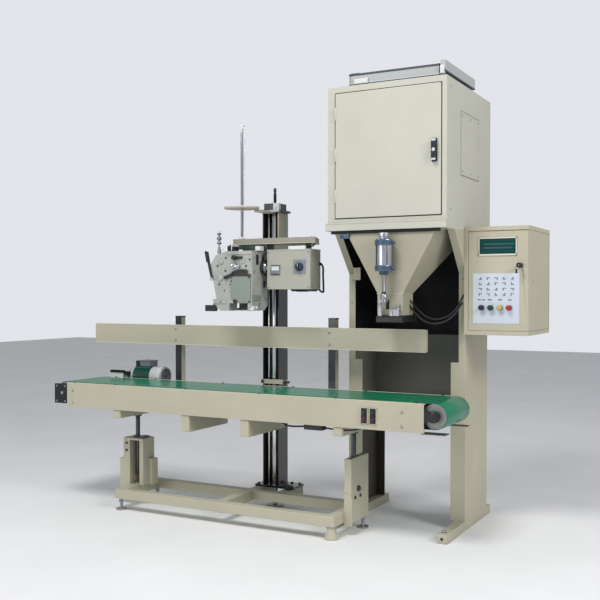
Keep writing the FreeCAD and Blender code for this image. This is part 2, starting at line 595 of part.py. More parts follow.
def air_cylinder():
    """Hollow cylinder with two caps, a rod hole below and a bracket to the hopper above."""
    centre = ("cylinder_x", "cylinder_depth")
    low, high = "cylinder_low", "cylinder_high"
    solids = [rod("z", centre, "barrel_radius", (low, high)),
              rod("z", centre, "cap_radius", (low, f"{low} + cap_length")),
              rod("z", centre, "cap_radius", (f"{high} - cap_length", high)),
              box(("cylinder_x - cylinder_bracket", "cylinder_x + cylinder_bracket"),
                  ("cylinder_depth", "spout_front"), (f"{high} - cap_length", high))]
    bore = rod("z", centre, "bore_radius", (f"{low} + cap_length", f"{high} - cap_length"))
    rod_hole = rod("z", centre, "piston_rod_radius + running_gap", (f"{low} - 1", f"{low} + cap_length + 1"))
    sub_part(cut(fuse(solids), [bore, rod_hole]), "air_cylinder")


def cylinder_rod():
    """Piston, rod and rod end; the rod is drawn in at rest."""
    piston_top = "cylinder_high - cap_length - piston_clearance"
    steps = [("rod_end_height", "rod_end_height + rod_end_length", "rod_end_radius"),
             ("rod_end_height + rod_end_length", f"{piston_top} - piston_length", "piston_rod_radius"),
             (f"{piston_top} - piston_length", piston_top, "bore_radius - running_gap")]
    sub_part(turned("z", ("cylinder_x", "cylinder_depth", "0"), steps), "cylinder_rod")


def weigh_bucket():
    """Open weigh bucket hung on two beams from the cabinet's side walls."""
    x, y = ("bucket_left", "bucket_right"), ("bucket_front", "bucket_rear")
    walls = box(x, y, ("bucket_bottom", "bucket_top"))
    wall = "bucket_wall"
    inside = box((f"bucket_left + {wall}", f"bucket_right - {wall}"),
                 (f"bucket_front + {wall}", f"bucket_rear - {wall}"), ("bucket_bottom - 1", "bucket_top + 1"))
    level = ("bucket_top - beam_drop - beam_height", "bucket_top - beam_drop")
    depth = ("beam_front", "beam_rear")
    left = box(("cabinet_left + sheet_wall", "bucket_left"), depth, level)
    right = box(("bucket_right", "stand_right - sheet_wall"), depth, level)
    sub_part(fuse([cut(walls, [inside]), left, right]), "weigh_bucket")


def bucket_gate():
    """Flap that closes the bucket from below and swings down to drop the charge."""
    flap = box(("bucket_left", "bucket_right"), ("bucket_front", "bucket_rear"),
               ("bucket_bottom - gate_gap - gate_thickness", "bucket_bottom - gate_gap"))
    sub_part(flap, "bucket_gate")


# ---------------------------------------------------------------- control box

def control_skin(hinge_side, outer, inner, side_stop):
    """Plan of the folded door's sheet between two depths behind the box's front and right side."""
    front, right, rear = "control_front", "control_right", f"control_rear - ({side_stop})"
    return [(hinge_side, f"{front} + {outer}"), (f"{right} - {outer}", f"{front} + {outer}"),
            (f"{right} - {outer}", rear), (f"{right} - {inner}", rear),
            (f"{right} - {inner}", f"{front} + {inner}"), (hinge_side, f"{front} + {inner}")]


def control_box():
    """Sheet box on the stand's right side; its top and bottom stand out as lips over the door."""
    inset, opening_inset = "(control_wall + door_recess)", "control_opening"
    shell = box(("stand_right", "control_right"), ("control_front", "control_rear"),
                ("control_bottom", "control_top"))
    inside = box((f"stand_right + {inset}", f"control_right - {inset}"),
                 (f"control_front + {inset}", f"control_rear - {inset}"),
                 ("control_bottom + control_wall", "control_top - control_wall"))
    recess = prism("XY_Plane", control_skin("stand_right + door_margin", "-1", "door_recess",
                                            "door_side_margin - 2"),
                   "control_bottom + door_margin", "control_top - door_margin")
    opening = box((f"stand_right + {opening_inset}", f"control_right - {opening_inset}"),
                  ("control_front", f"control_front + {opening_inset}"),
                  (f"control_bottom + {opening_inset}", f"control_top - {opening_inset}"))
    sub_part(cut(shell, [inside, recess, opening]), "control_box")


def panel_button_centre(index):
    return (f"panel_button_first + {index}*panel_button_pitch", "panel_button_height")


def control_door():
    """Door folded around the right corner; it carries the display, keypad, buttons and key switch."""
    outline = control_skin("stand_right + door_margin + 1", "door_inset", "door_inset + panel_thickness",
                           "door_side_margin")
    panel = prism("XY_Plane", outline, "control_bottom + door_margin + 1", "control_top - door_margin - 1")
    through = ("control_front - 1", "control_front + door_inset + panel_thickness + 1")
    holes = [rod("y", panel_button_centre(index), "panel_button + running_gap", through) for index in range(4)]
    holes.append(rod("y", ("key_x", "key_height"), "key_radius + running_gap", through))
    sub_part(cut(panel, holes), "control_door")


def panel_buttons():
    for index, colour in enumerate(("blue", "green", "yellow", "red")):
        cap = rod("y", panel_button_centre(index), "panel_button",
                  ("control_front - panel_button_proud", "control_front + panel_button_root"))
        sub_part(cap, f"button_{colour}")


def panel_key():
    centre = ("key_x", "key_height")
    face = "control_front - key_proud"
    barrel = rod("y", centre, "key_radius", (face, "control_front + key_root"))
    bow = box(("key_x - key_half_width", "key_x + key_half_width"), ("control_front - key_reach", face),
              ("key_height - key_half_height", "key_height + key_half_height"))
    sub_part(fuse([barrel, bow]), "panel_key")


# -------------------------------------------------------------- conveyor deck

def side_rail(outer, direction):
    """Channel rail with its web outside and its flanges inside."""
    def at(depth):
        return f"{outer} + {direction}*({depth})"

    return prism("YZ_Plane", [
        (at("0"), "rail_bottom"), (at("rail_flange"), "rail_bottom"), (at("rail_flange"), "rail_bottom + rail_wall"),
        (at("rail_wall"), "rail_bottom + rail_wall"), (at("rail_wall"), "rail_top - rail_wall"),
        (at("rail_flange"), "rail_top - rail_wall"), (at("rail_flange"), "rail_top"), (at("0"), "rail_top")],
        "rail_left", "rail_right")


def station_button_centre(index):
    """Centres of the four start and stop buttons, two to a station."""
    height = "station_button_high" if index % 2 == 0 else "station_button_low"
    return (f"station_left + station_width/2 + {index // 2}*station_pitch", height)


def deck_frame():
    """Rails, cross members and the slider bed, welded together."""
    solids = [side_rail("deck_front", 1), side_rail("deck_rear", -1)]
    members = {"lift_left": "cross_depth", "first_cross": "middle_cross_depth",
               "second_cross": "middle_cross_depth", "lift_right": "cross_depth"}
    for x, depth in members.items():
        solids.append(box((f"{x} - cross_width/2", f"{x} + cross_width/2"),
                          ("deck_front + cross_inset", "deck_rear - cross_inset"),
                          (f"rail_bottom - {depth}", "rail_bottom")))
    solids.append(box(("-bed_half_length", "bed_half_length"),
                      ("deck_front + rail_flange", "deck_rear - rail_flange"),
                      ("rail_top - rail_wall", "rail_top - 2*running_gap")))
    holes = [rod("y", station_button_centre(index), "station_button + running_gap",
                 ("deck_front - 1", "deck_front + rail_wall + 1")) for index in range(4)]
    sub_part(cut(fuse(solids), holes), "deck_frame")


BELT_MIDDLE = "(deck_front + deck_rear)/2"


def conveyor_belt():
    centres = [(-value_of("roller_reach"), value_of("roller_height")),
               (value_of("roller_reach"), value_of("roller_height"))]
    radius = value_of("drum_radius")
    belt = belt_loop(centres, (radius, radius), value_of("belt_thickness"), value_of("belt_width"))
    bind(belt, "Placement.Base.y", BELT_MIDDLE)
    sub_part(belt, "conveyor_belt")


def conveyor_rollers():
    """Crowned drums are taken as plain; the tail roller carries the chain wheel at the back."""
    half, middle = "(belt_width/2 - 2)", BELT_MIDDLE
    shaft_end = "(deck_rear - deck_front)/2 - 2"
    shared = [(f"-({shaft_end})", f"-{half}", "shaft_radius"), (f"-{half}", half, "drum_radius")]
    head = turned("y", ("roller_reach", middle, "roller_height"), shared + [(half, shaft_end, "shaft_radius")])
    sub_part(head, "head_roller")
    wheel = f"sprocket_depth - {middle}"
    tail = turned("y", ("-roller_reach", middle, "roller_height"), shared + [
        (half, f"{wheel} - sprocket_width/2", "shaft_radius"),
        (f"{wheel} - sprocket_width/2", f"{wheel} + sprocket_width/2", "sprocket_radius")])
    sub_part(tail, "tail_roller")


def roller_bearings():
    """Take-up blocks at the tail and round flange bearings on short arms at the head."""
    housings = []
    shaft_hole = "shaft_radius + running_gap"
    for outer, sign in (("deck_front", 1), ("deck_rear", -1)):
        near, far = f"{outer} + {sign}*1", f"{outer} + {sign}*bearing_thickness"
        depth = (near, far) if sign > 0 else (far, near)
        housings.append(box(("-bearing_reach", "rail_left"), depth, ("tail_block_bottom", "tail_block_top")))
        arm = box(("rail_right", "roller_reach"), depth,
                  ("roller_height - head_arm_half", "roller_height + head_arm_half"))
        housings.append(fuse([arm, rod("y", ("roller_reach", "roller_height"), "head_bearing", depth)]))
        sole = (f"{outer} + {sign}*bearing_thickness", f"{outer} + {sign}*sole_width")
        housings.append(box(("rail_right - bearing_thickness", "roller_reach + sole_width"),
                            sole if sign > 0 else sole[::-1], ("rail_bottom - sole_thickness", "rail_bottom")))
    bores = [rod("y", (x, "roller_height"), shaft_hole, ("deck_front - 20", "deck_rear + 20"))
             for x in ("roller_reach", "-roller_reach")]
    sub_part(cut(fuse(housings), bores), "roller_bearings")


def lift_rods():
    span = ("lift_rod_bottom", "rail_bottom - cross_depth")
    sub_part(fuse([rod("z", (x, "lift_depth"), "lift_rod_radius", span) for x in ("lift_left", "lift_right")]),
             "lift_rods")


def guide_rail():
    """Folded back rest for the bags, open at the back."""
    wall = "guide_wall"
    outer = box(("guide_left", "guide_right"), ("guide_front", "deck_rear"), ("guide_bottom", "guide_top"))
    inside = box(("guide_left - 1", "guide_right + 1"), (f"guide_front + {wall}", f"deck_rear - {wall}"),
                 (f"guide_bottom + {wall}", f"guide_top - {wall}"))
    sub_part(cut(outer, [inside]), "guide_rail")


def guide_posts():
    """Square posts bolted to the back of the rear rail."""
    posts = []
    for x in ("left_post", "right_post"):
        half, wall = "post_side/2", "sheet_wall"
        outer = box((f"{x} - {half}", f"{x} + {half}"), ("deck_rear", "deck_rear + post_side"),
                    ("rail_bottom", "post_top"))
        inside = box((f"{x} - {half} + {wall}", f"{x} + {half} - {wall}"),
                     (f"deck_rear + {wall}", f"deck_rear + post_side - {wall}"),
                     ("rail_bottom - 1", "post_top - post_cap"))
        posts.append(cut(outer, [inside]))
    sub_part(fuse(posts), "guide_posts")


def drive_motor():
    """Foot-mounted motor with its fan cowl, terminal box and bracket to the rear rail."""
    cowl = "motor_right - cowl_length"
    body = turned("x", ("0", "drive_depth", "drive_height"), [
        ("motor_left", "motor_left + motor_flange", "cowl_radius"),
        ("motor_left + motor_flange", cowl, "motor_radius"), (cowl, "motor_right", "cowl_radius")])
    terminals = box(("motor_left + terminal_start", "motor_left + terminal_start + terminal_length"),
                    ("drive_depth - terminal_half", "drive_depth + terminal_half"),
                    ("drive_height + terminal_low", "drive_height + terminal_high"))
    shelf_top = "drive_height - motor_radius - shelf_drop"
    foot = box(("motor_left + 3*motor_flange", f"{cowl} - 2*motor_flange"),
               ("drive_depth - motor_foot_half", "drive_depth + motor_foot_half"),
               (shelf_top, "drive_height - 2*motor_flange"))
    shelf = box(("motor_left + 2*motor_flange", cowl), ("deck_rear", "drive_depth + shelf_reach"),
                (f"{shelf_top} - shelf_thickness", shelf_top))
    sub_part(fuse([body, terminals, foot, shelf]), "drive_motor")


OUTPUT_X = "(gearbox_left + motor_left)/2"
OUTPUT_Z = "(drive_height - output_drop)"


def gearbox():
    half = "gearbox_half"
    case = box(("gearbox_left", "motor_left"), (f"drive_depth - {half}", f"drive_depth + {half}"),
               (f"{OUTPUT_Z} - gearbox_low", "drive_height + gearbox_high"))
    bore = rod("y", (OUTPUT_X, OUTPUT_Z), "output_radius + running_gap",
               (f"drive_depth - {half} - 1", "drive_depth"))
    sub_part(cut(case, [bore]), "gearbox")


def gearbox_sprocket():
    half = "sprocket_width/2"
    steps = [(f"-{half}", half, "sprocket_radius"),
             (half, "drive_depth - sprocket_depth - output_gap", "output_radius")]
    sub_part(turned("y", (OUTPUT_X, "sprocket_depth", OUTPUT_Z), steps), "gearbox_sprocket")


def drive_chain():
    output_x = (value_of("gearbox_left") + value_of("motor_left")) / 2
    output_z = value_of("drive_height") - value_of("output_drop")
    centres = [(-value_of("roller_reach"), value_of("roller_height")), (output_x, output_z)]
    radius = value_of("sprocket_radius")
    chain = belt_loop(centres, (radius, radius), value_of("chain_thickness"), value_of("chain_width"))
    bind(chain, "Placement.Base.y", "sprocket_depth")
    sub_part(chain, "drive_chain")


def button_stations():
    """Two start and stop stations on the front rail."""
    face = "deck_front - station_proud"
    plates = [box((f"station_left + {k}*station_pitch", f"station_left + {k}*station_pitch + station_width"),
                  (face, "deck_front"), ("station_low", "station_high")) for k in range(2)]
    holes = [rod("y", station_button_centre(index), "station_button + running_gap", (f"{face} - 1", "deck_front + 1"))
             for index in range(4)]
    sub_part(cut(fuse(plates), holes), "button_stations")


def station_buttons():
    labels = ("conveyor_start_button", "conveyor_stop_button", "sewing_start_button", "sewing_stop_button")
    for index, label in enumerate(labels):
        cap = rod("y", station_button_centre(index), "station_button",
                  ("deck_front - station_proud - station_button_proud", "deck_front + station_button_root"))
        sub_part(cap, label)


# --------------------------------------------------------------- sewing group

def carriage():
    """Block that climbs the guide bars inside the column and reaches forward to the arm."""
    reach, front = "column_side/2 - column_wall - carriage_gap", "-column_side/2 + carriage_inset"
    block = box((f"-({reach})", reach), (front, "column_side/2 - 2*column_wall"),
                ("carriage_bottom", "carriage_top"))
    neck = box((f"-({reach})", reach), ("neck_front", front), ("carriage_bottom", "arm_bottom"))
    span = ("carriage_bottom - 1", "carriage_top + 1")
    bores = [rod("z", ("thin_bar_offset", "bar_depth"), "thin_bar_radius + running_gap", span),
             rod("z", ("thick_bar_offset", "bar_depth"), "thick_bar_radius + running_gap", span),
             rod("z", ("screw_x", "screw_depth"), "screw_radius + running_gap", span)]
    sub_part(cut(fuse([block, neck]), bores), "carriage")


def arm_plate():
    """Folded arm over the head, with the hanger blocks of the head and the switch box."""
    wall, ceiling = "arm_wall", "arm_top - arm_wall"
    tray = prism("XY_Plane", [
        ("arm_left", "arm_front"), ("arm_right", "arm_front"), ("arm_right_rear", "arm_rear"),
        ("arm_left", "arm_rear")], "arm_bottom", "arm_top")
    hollow = box((f"arm_left + {wall}", "arm_right_rear"), (f"arm_front + {wall}", "arm_pad_front"),
                 ("arm_bottom - 1", ceiling))
    head_hanger = box(("head_hanger_left", "head_hanger_right"), ("head_hanger_front", "head_hanger_rear"),
                      ("head_top", ceiling))
    switch_hanger = box(("switch_left + switch_hanger_left", "switch_right - switch_hanger_right"),
                        ("switch_hanger_front", "switch_hanger_rear"), ("switch_top", ceiling))
    sub_part(fuse([cut(tray, [hollow]), head_hanger, switch_hanger]), "arm_plate")


def head_casting():
    """Cast head: hollow body with an open throat at the front and a slot for the bag's mouth."""
    left, right, low = "head_left", "head_right", "head_bottom"
    body = prism("XZ_Plane", [
        (left, "shoulder_low"), (f"{left} + 39", "shoulder_high"), (f"{left} + 92", "head_top - 4"),
        (right, "head_top"), (right, "chin_height"), (f"{right} - 20", low),
        (f"{left} + 70", low), (f"{left} + 30", "jaw_height"), (f"{left} + 42", "neck_low"),
        (f"{left} + 32", "neck_middle"), (f"{left} + 22", "neck_high")], "head_front", "head_rear")
    wall, plate = "cavity_wall", ("bag_slot_rear - 1", "bag_slot_rear + 5")
    cavity = box((f"{left} + 62", f"{right} - {wall}"), (f"head_front + {wall}", f"head_rear - {wall}"),
                 ("cavity_low", "cavity_high"))
    throat = box(("throat_left", "throat_right"), ("head_front - 1", "bag_slot_front"),
                 (f"{low} - 1", "throat_top"))
    bag_slot = box((f"{left} - 1", f"{right} + 1"), ("bag_slot_front - 1", "bag_slot_rear"),
                   (f"{low} - 1", "throat_top"))
    looper_room = box(("-looper_room_half", "looper_room_half"), ("bag_slot_rear + 4", f"head_rear - {wall}"),
                      (f"{low} + 4", "looper_room_top"))
    needle_slot = box(("-needle_slot_half", "needle_slot_half"), ("head_front + 3", "head_front + needle_slot_depth"),
                      ("throat_top - 1", "needle_slot_top"))
    needle_hole = rod("y", ("0", "needle_height"), "needle_hole", plate)
    feed_window = box(("-feed_half", "feed_half"), plate, ("feed_low", "feed_high"))
    shaft_hole = rod("x", ("main_shaft_depth", "main_shaft_height"), "main_shaft_radius + running_gap",
                     (f"{right} - {wall} - 1", f"{right} + 1"))
    sub_part(cut(body, [cavity, throat, bag_slot, looper_room, needle_slot, needle_hole, feed_window, shaft_hole]),
             "head_casting")


def head_cover():
    """Cover plate over the head's front, with a slanted lower left corner."""
    low, right = "throat_top + 2", "head_right - cover_inset"
    plate = prism("XZ_Plane", [
        ("cover_left", "cover_corner"), ("cover_left/5", low), (right, low), (right, "cover_top"),
        ("cover_left", "cover_top")], "head_front - cover_thickness", "head_front")
    sub_part(plate, "head_cover")


def main_shaft():
    """Head's main shaft with its crank disc inside and the belt wheel outside."""
    steps = [("crank_left", "crank_left + crank_width", "crank_radius"),
             ("crank_left + crank_width", "wheel_left", "main_shaft_radius"),
             ("wheel_left", "wheel_left + wheel_width", "wheel_radius")]
    sub_part(turned("x", ("0", "main_shaft_depth", "main_shaft_height"), steps), "main_shaft")


def needle_bar():
    """Bar, arm and needle that stitch along Y through the bag's mouth."""
    front, radius = "head_front + needle_bar_front", "needle_bar_radius"
    bar = rod("y", ("0", "needle_bar_height"), radius, (front, f"{front} + needle_bar_length"))
    arm = box((f"-{radius}", radius), (front, f"{front} + {radius}"),
              (f"needle_height - {radius}", f"needle_bar_height + {radius}"))
    needle = rod("y", ("0", "needle_height"), "needle_radius",
                 (f"{front} + {radius}", "bag_slot_front - needle_gap"))
    sub_part(fuse([bar, arm, needle]), "needle_bar")


def looper():
    """Looper hook on an upright pin behind the bag slot."""
    half, left = "looper_half", "looper_x - looper_half"
    middle, tip = "(looper_low + looper_high)/2", "looper_depth - looper_reach"
    level = (f"{middle} - {half}", f"{middle} + {half}")
    hub = rod("z", ("looper_x", "looper_depth"), "looper_hub", ("looper_low", "looper_high"))
    link = box((left, "looper_x + looper_half"), (tip, "looper_depth"), level)
    hook = box((left, "looper_tip"), (tip, f"{tip} + 2*{half}"), level)
    sub_part(fuse([hub, link, hook]), "looper")


def feed_dog():
    """Toothed bar that moves the bag's mouth along behind the slot."""
    teeth = box(("-(feed_half - 5)", "feed_half - 5"), ("bag_slot_rear - 3", "bag_slot_rear + 22"),
                ("feed_low + 1", "feed_high - 1"))
    sub_part(teeth, "feed_dog")


def presser_foot():
    """Foot at the front of the bag slot, with a hole for the needle."""
    plate = box(("-foot_half", "foot_half"), ("foot_front", "foot_rear"), ("foot_low", "foot_high"))
    hole = rod("y", ("0", "needle_height"), "foot_hole", ("foot_front - 1", "foot_rear + 1"))
    sub_part(cut(plate, [hole]), "presser_foot")


def presser_lever():
    """Hand lever beside the head that lifts the presser foot."""
    x, z = "lever_x", "lever_height"
    bar = prism("XZ_Plane", [
        (f"{x} - 6", f"{z} + 2"), (f"{x} + 6", f"{z} - 2"), (f"{x} - 8", f"{z} + 60"),
        (f"{x} - 24", f"{z} + 144"), (f"{x} - 42", f"{z} + 146"), (f"{x} - 22", f"{z} + 60")],
        "head_front - 6", "head_front")
    sub_part(bar, "presser_lever")


def sewing_motor():
    """Motor behind the switch box, hung from the arm."""
    left, step = "stitch_motor_left", "stitch_motor_left + motor_step"
    body = turned("x", ("0", "stitch_motor_depth", "stitch_motor_height"), [
        (left, step, "stitch_motor_radius - motor_step_drop"), (step, "stitch_motor_right", "stitch_motor_radius")])
    hanger = box((f"{left} + motor_hanger_left", "stitch_motor_right - motor_hanger_right"),
                 ("stitch_motor_depth - motor_hanger_front", "stitch_motor_depth + motor_hanger_rear"),
                 ("stitch_motor_height", "arm_bottom"))
    bore = rod("x", ("stitch_motor_depth", "stitch_motor_height"), "motor_shaft_radius + running_gap",
               (f"{left} - 1", f"{left} + motor_shaft_length + 1"))
    sub_part(cut(fuse([body, hanger]), [bore]), "sewing_motor")


def motor_pulley():
    """Pulley with the sewing motor's shaft."""
    face = "wheel_left + wheel_width"
    steps = [("wheel_left", face, "motor_pulley_radius"),
             (face, "stitch_motor_left + motor_shaft_length", "motor_shaft_radius")]
    sub_part(turned("x", ("0", "stitch_motor_depth", "stitch_motor_height"), steps), "motor_pulley")


def vee_belt():
    """Belt from the sewing motor to the head, made in the XZ plane and turned into the YZ plane."""
    centres = [(value_of("main_shaft_depth"), value_of("main_shaft_height")),
               (value_of("stitch_motor_depth"), value_of("stitch_motor_height"))]
    radii = (value_of("wheel_radius"), value_of("motor_pulley_radius"))
    belt = belt_loop(centres, radii, value_of("vee_belt_thickness"), value_of("vee_belt_width"))
    belt.Placement = FreeCAD.Placement(FreeCAD.Vector(), FreeCAD.Rotation(FreeCAD.Vector(0, 0, 1), 90))
    bind(belt, "Placement.Base.x", "wheel_left + wheel_width/2")
    sub_part(belt, "vee_belt")


def switch_box():
    """Sheet box for the sewing head's switches."""
    wall, face = "switch_wall", ("switch_front - 1", "switch_front + switch_wall + 1")
    outer = box(("switch_left", "switch_right"), ("switch_front", "switch_rear"), ("switch_bottom", "switch_top"))
    inside = box((f"switch_left + {wall}", f"switch_right - {wall}"),
                 (f"switch_front + {wall}", f"switch_rear - {wall}"),
                 (f"switch_bottom + {wall}", f"switch_top - {wall}"))
    half_width = "(rocker_half_width + rocker_side_gap)"
    half_height = "(rocker_half_height + rocker_clearance)"
    window = box((f"rocker_x - {half_width}", f"rocker_x + {half_width}"), face,
                 (f"rocker_height - {half_height}", f"rocker_height + {half_height}"))
    spindle = rod("y", ("rotary_x", "rotary_height"), "rotary_spindle + running_gap", face)
    sub_part(cut(outer, [inside, window, spindle]), "switch_box")


def rotary_switch():
    centre = ("rotary_x", "rotary_height")
    radius, half = "rotary_radius", "rotary_pointer_half"
    low, high = "switch_front - rotary_low", "switch_front - rotary_high"
    knob = rod("y", centre, radius, (high, low))
    spindle = rod("y", centre, "rotary_spindle", (low, "switch_front + rotary_root"))
    pointer = box((f"rotary_x - {half}", f"rotary_x + {half}"), ("switch_front - rotary_pointer", high),
                  (f"rotary_height - {radius}", f"rotary_height + {radius}"))
    sub_part(fuse([knob, spindle, pointer]), "rotary_switch")


def rocker_switch():
    cap = box(("rocker_x - rocker_half_width", "rocker_x + rocker_half_width"),
              ("switch_front - rocker_proud", "switch_front + rocker_root"),
              ("rocker_height - rocker_half_height", "rocker_height + rocker_half_height"))
    sub_part(cap, "rocker_switch")


def thread_rod():
    sub_part(rod("z", ("thread_x", "thread_depth"), "thread_rod_radius", ("arm_top", "thread_rod_top")),
             "thread_rod")


# --------------------------------------------------------------------- output

BUILDERS = (
    base_frame, levelling_feet, lift_sleeves, sewing_column, guide_bars, lead_screw, thread_tray,
    filler_frame, cabinet_shell, cabinet_door, door_handle, inlet_frame, hopper, clamp_jaws, air_cylinder,
    cylinder_rod, weigh_bucket, bucket_gate, control_box, control_door, panel_buttons, panel_key,
    deck_frame, conveyor_belt, conveyor_rollers, roller_bearings, lift_rods, guide_rail, guide_posts,
    drive_motor, gearbox, gearbox_sprocket, drive_chain, button_stations, station_buttons,
    carriage, arm_plate, head_casting, head_cover, main_shaft, needle_bar, looper, feed_dog, presser_foot,
    presser_lever, sewing_motor, motor_pulley, vee_belt, switch_box, rotary_switch, rocker_switch, thread_rod,
)


def check_document():
    """Stop if any object failed or any sub-part has no valid shape."""
    for item in DOC.Objects:
        if "Invalid" in item.State or "Error" in item.State:
            raise RuntimeError(f"{item.Label} failed: {item.State}")
    for item in SUB_PARTS:
        if item.Shape.isNull() or not item.Shape.isValid() or not item.Shape.Solids:
            raise RuntimeError(f"{item.Label} has no valid shape")


def write_parts():
    os.makedirs("parts", exist_ok=True)
    for item in SUB_PARTS:
        item.Shape.exportStep(f"parts/{item.Label}.step")


fill_sheet()
for builder in BUILDERS:
    builder()
DOC.recompute()
check_document()
write_parts()
print(len(SUB_PARTS), "sub-parts written")
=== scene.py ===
"""Looks of the bag filling and sewing machine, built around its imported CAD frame.  Metres, Z up."""
import math

import bmesh
import bpy
from mathutils import Matrix, Vector


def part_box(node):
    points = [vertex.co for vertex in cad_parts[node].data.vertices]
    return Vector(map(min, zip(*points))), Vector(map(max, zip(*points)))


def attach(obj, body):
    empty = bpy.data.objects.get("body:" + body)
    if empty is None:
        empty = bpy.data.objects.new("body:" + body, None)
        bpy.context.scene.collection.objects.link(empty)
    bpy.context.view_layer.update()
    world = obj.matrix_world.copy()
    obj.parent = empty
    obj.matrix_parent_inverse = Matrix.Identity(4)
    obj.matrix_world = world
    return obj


MM = 0.001
SHARP = math.radians(35)    # an edge steeper than this stays sharp and is bevelled
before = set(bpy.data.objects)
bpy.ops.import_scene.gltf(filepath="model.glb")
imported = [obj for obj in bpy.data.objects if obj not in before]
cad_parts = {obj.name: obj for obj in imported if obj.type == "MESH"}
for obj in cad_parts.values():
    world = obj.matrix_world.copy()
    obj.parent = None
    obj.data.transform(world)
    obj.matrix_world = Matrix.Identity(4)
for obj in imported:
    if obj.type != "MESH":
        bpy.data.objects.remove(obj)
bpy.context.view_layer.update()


# ------------------------------------------------------------------ materials

def new_tree(name):
    """A material with nodes: returns it, its tree and its Principled shader."""
    material = bpy.data.materials.new(name)
    material.use_nodes = True
    tree = material.node_tree
    return material, tree, tree.nodes["Principled BSDF"]


def add(tree, kind, inputs=None, **settings):
    """A new node with its settings and its inputs, each a value or another node's socket."""
    node = tree.nodes.new(kind)
    for key, value in settings.items():
        setattr(node, key, value)
    for key, value in (inputs or {}).items():
        if isinstance(value, bpy.types.NodeSocket):
            tree.links.new(value, node.inputs[key])
        else:
            node.inputs[key].default_value = value
    return node


def place(tree, stretch=(1, 1, 1)):
    """Object coordinates in metres, stretched."""
    where = add(tree, "ShaderNodeTexCoord")
    mapping = add(tree, "ShaderNodeMapping", {"Vector": where.outputs["Object"], "Scale": stretch})
    return mapping.outputs["Vector"]


def noise(tree, scale, detail=3.0, roughness=0.5, stretch=(1, 1, 1)):
    """Noise of a given number of cells per metre."""
    node = add(tree, "ShaderNodeTexNoise",
        {"Vector": place(tree, stretch), "Scale": scale, "Detail": detail, "Roughness": roughness})
    return node.outputs["Fac"]


def spread(tree, value, low, high, from_low=0.0, from_high=1.0):
    """Map a value from one range to another."""
    node = add(tree, "ShaderNodeMapRange",
        {"Value": value, "From Min": from_low, "From Max": from_high, "To Min": low, "To Max": high})
    return node.outputs["Result"]


def blend_colour(tree, factor, first, second):
    """Mix two colours, each a tuple or a socket."""
    node = add(tree, "ShaderNodeMix", data_type="RGBA")
    for index, value in ((0, factor), (6, first), (7, second)):
        if isinstance(value, bpy.types.NodeSocket):
            tree.links.new(value, node.inputs[index])
        elif index == 0:
            node.inputs[index].default_value = value
        else:
            node.inputs[index].default_value = (*value, 1.0)
    return node.outputs[2]


def shade(colour, factor):
    """A colour made lighter or darker."""
    return tuple(min(1.0, channel * factor) for channel in colour)


def mottle(tree, pattern, start, end, share, first, second):
    """Mix two colours by a pattern: nought up to start, a share of the second from end on."""
    return blend_colour(tree, spread(tree, pattern, 0.0, share, start, end), first, second)


def coat_surface(tree, shader, tone, shine, height, bump, depth):
    """Join a colour, a roughness and a bump of some strength and depth in millimetres to the shader."""
    tree.links.new(tone, shader.inputs["Base Color"])
    tree.links.new(shine, shader.inputs["Roughness"])
    relief = add(tree, "ShaderNodeBump", {"Strength": bump, "Distance": depth * MM, "Height": height})
    tree.links.new(relief.outputs["Normal"], shader.inputs["Normal"])


def corner_shadow(tree, distance):
    """Ambient occlusion: low in corners, high in the open."""
    return add(tree, "ShaderNodeAmbientOcclusion", {"Distance": distance}, samples=4).outputs["AO"]


def edge_mask(tree, radius=1.6 * MM):
    """One along sharp outer edges, nought on flat faces."""
    rounded = add(tree, "ShaderNodeBevel", {"Radius": radius}, samples=4).outputs["Normal"]
    flat = add(tree, "ShaderNodeNewGeometry").outputs["Normal"]
    same = add(tree, "ShaderNodeVectorMath", operation="DOT_PRODUCT")
    tree.links.new(rounded, same.inputs[0])
    tree.links.new(flat, same.inputs[1])
    return spread(tree, same.outputs["Value"], 1.0, 0.0, 0.88, 0.995)


def paint(name, colour, roughness=0.42, peel=0.10, wear=0.35, corner_shade=0.10, coat=0.0):
    """Powder coat or enamel: orange peel, cloudy tone, light edges and painted shade in the corners."""
    material, tree, shader = new_tree(name)
    cloud, speck = noise(tree, 2.3, 5.0, 0.6), noise(tree, 55.0, 6.0, 0.7)
    tone = mottle(tree, cloud, 0.3, 0.7, 1.0, shade(colour, 0.94), shade(colour, 1.05))
    tone = mottle(tree, speck, 0.55, 0.75, 0.12, tone, shade(colour, 0.7))
    # Painted shade: ambient occlusion darkens the colour in corners and hollows.
    painted_corner_shade = spread(tree, corner_shadow(tree, 0.05), corner_shade * 4, 0.0, 0.25, 0.8)
    tone = blend_colour(tree, painted_corner_shade, tone, shade(colour, 0.45))
    rubbed = spread(tree, noise(tree, 28.0, 4.0), 0, wear, 0.4, 0.75)
    worn = add(tree, "ShaderNodeMath", {0: edge_mask(tree), 1: rubbed}, operation="MULTIPLY").outputs[0]
    tone = blend_colour(tree, worn, tone, shade(colour, 1.35))
    shine = spread(tree, noise(tree, 9.0, 4.0), roughness - 0.06, roughness + 0.1, 0.3, 0.7)
    coat_surface(tree, shader, tone, shine, noise(tree, 650.0, 2.0), peel, 0.4)
    shader.inputs["Coat Weight"].default_value = coat
    shader.inputs["Coat Roughness"].default_value = 0.15
    return material


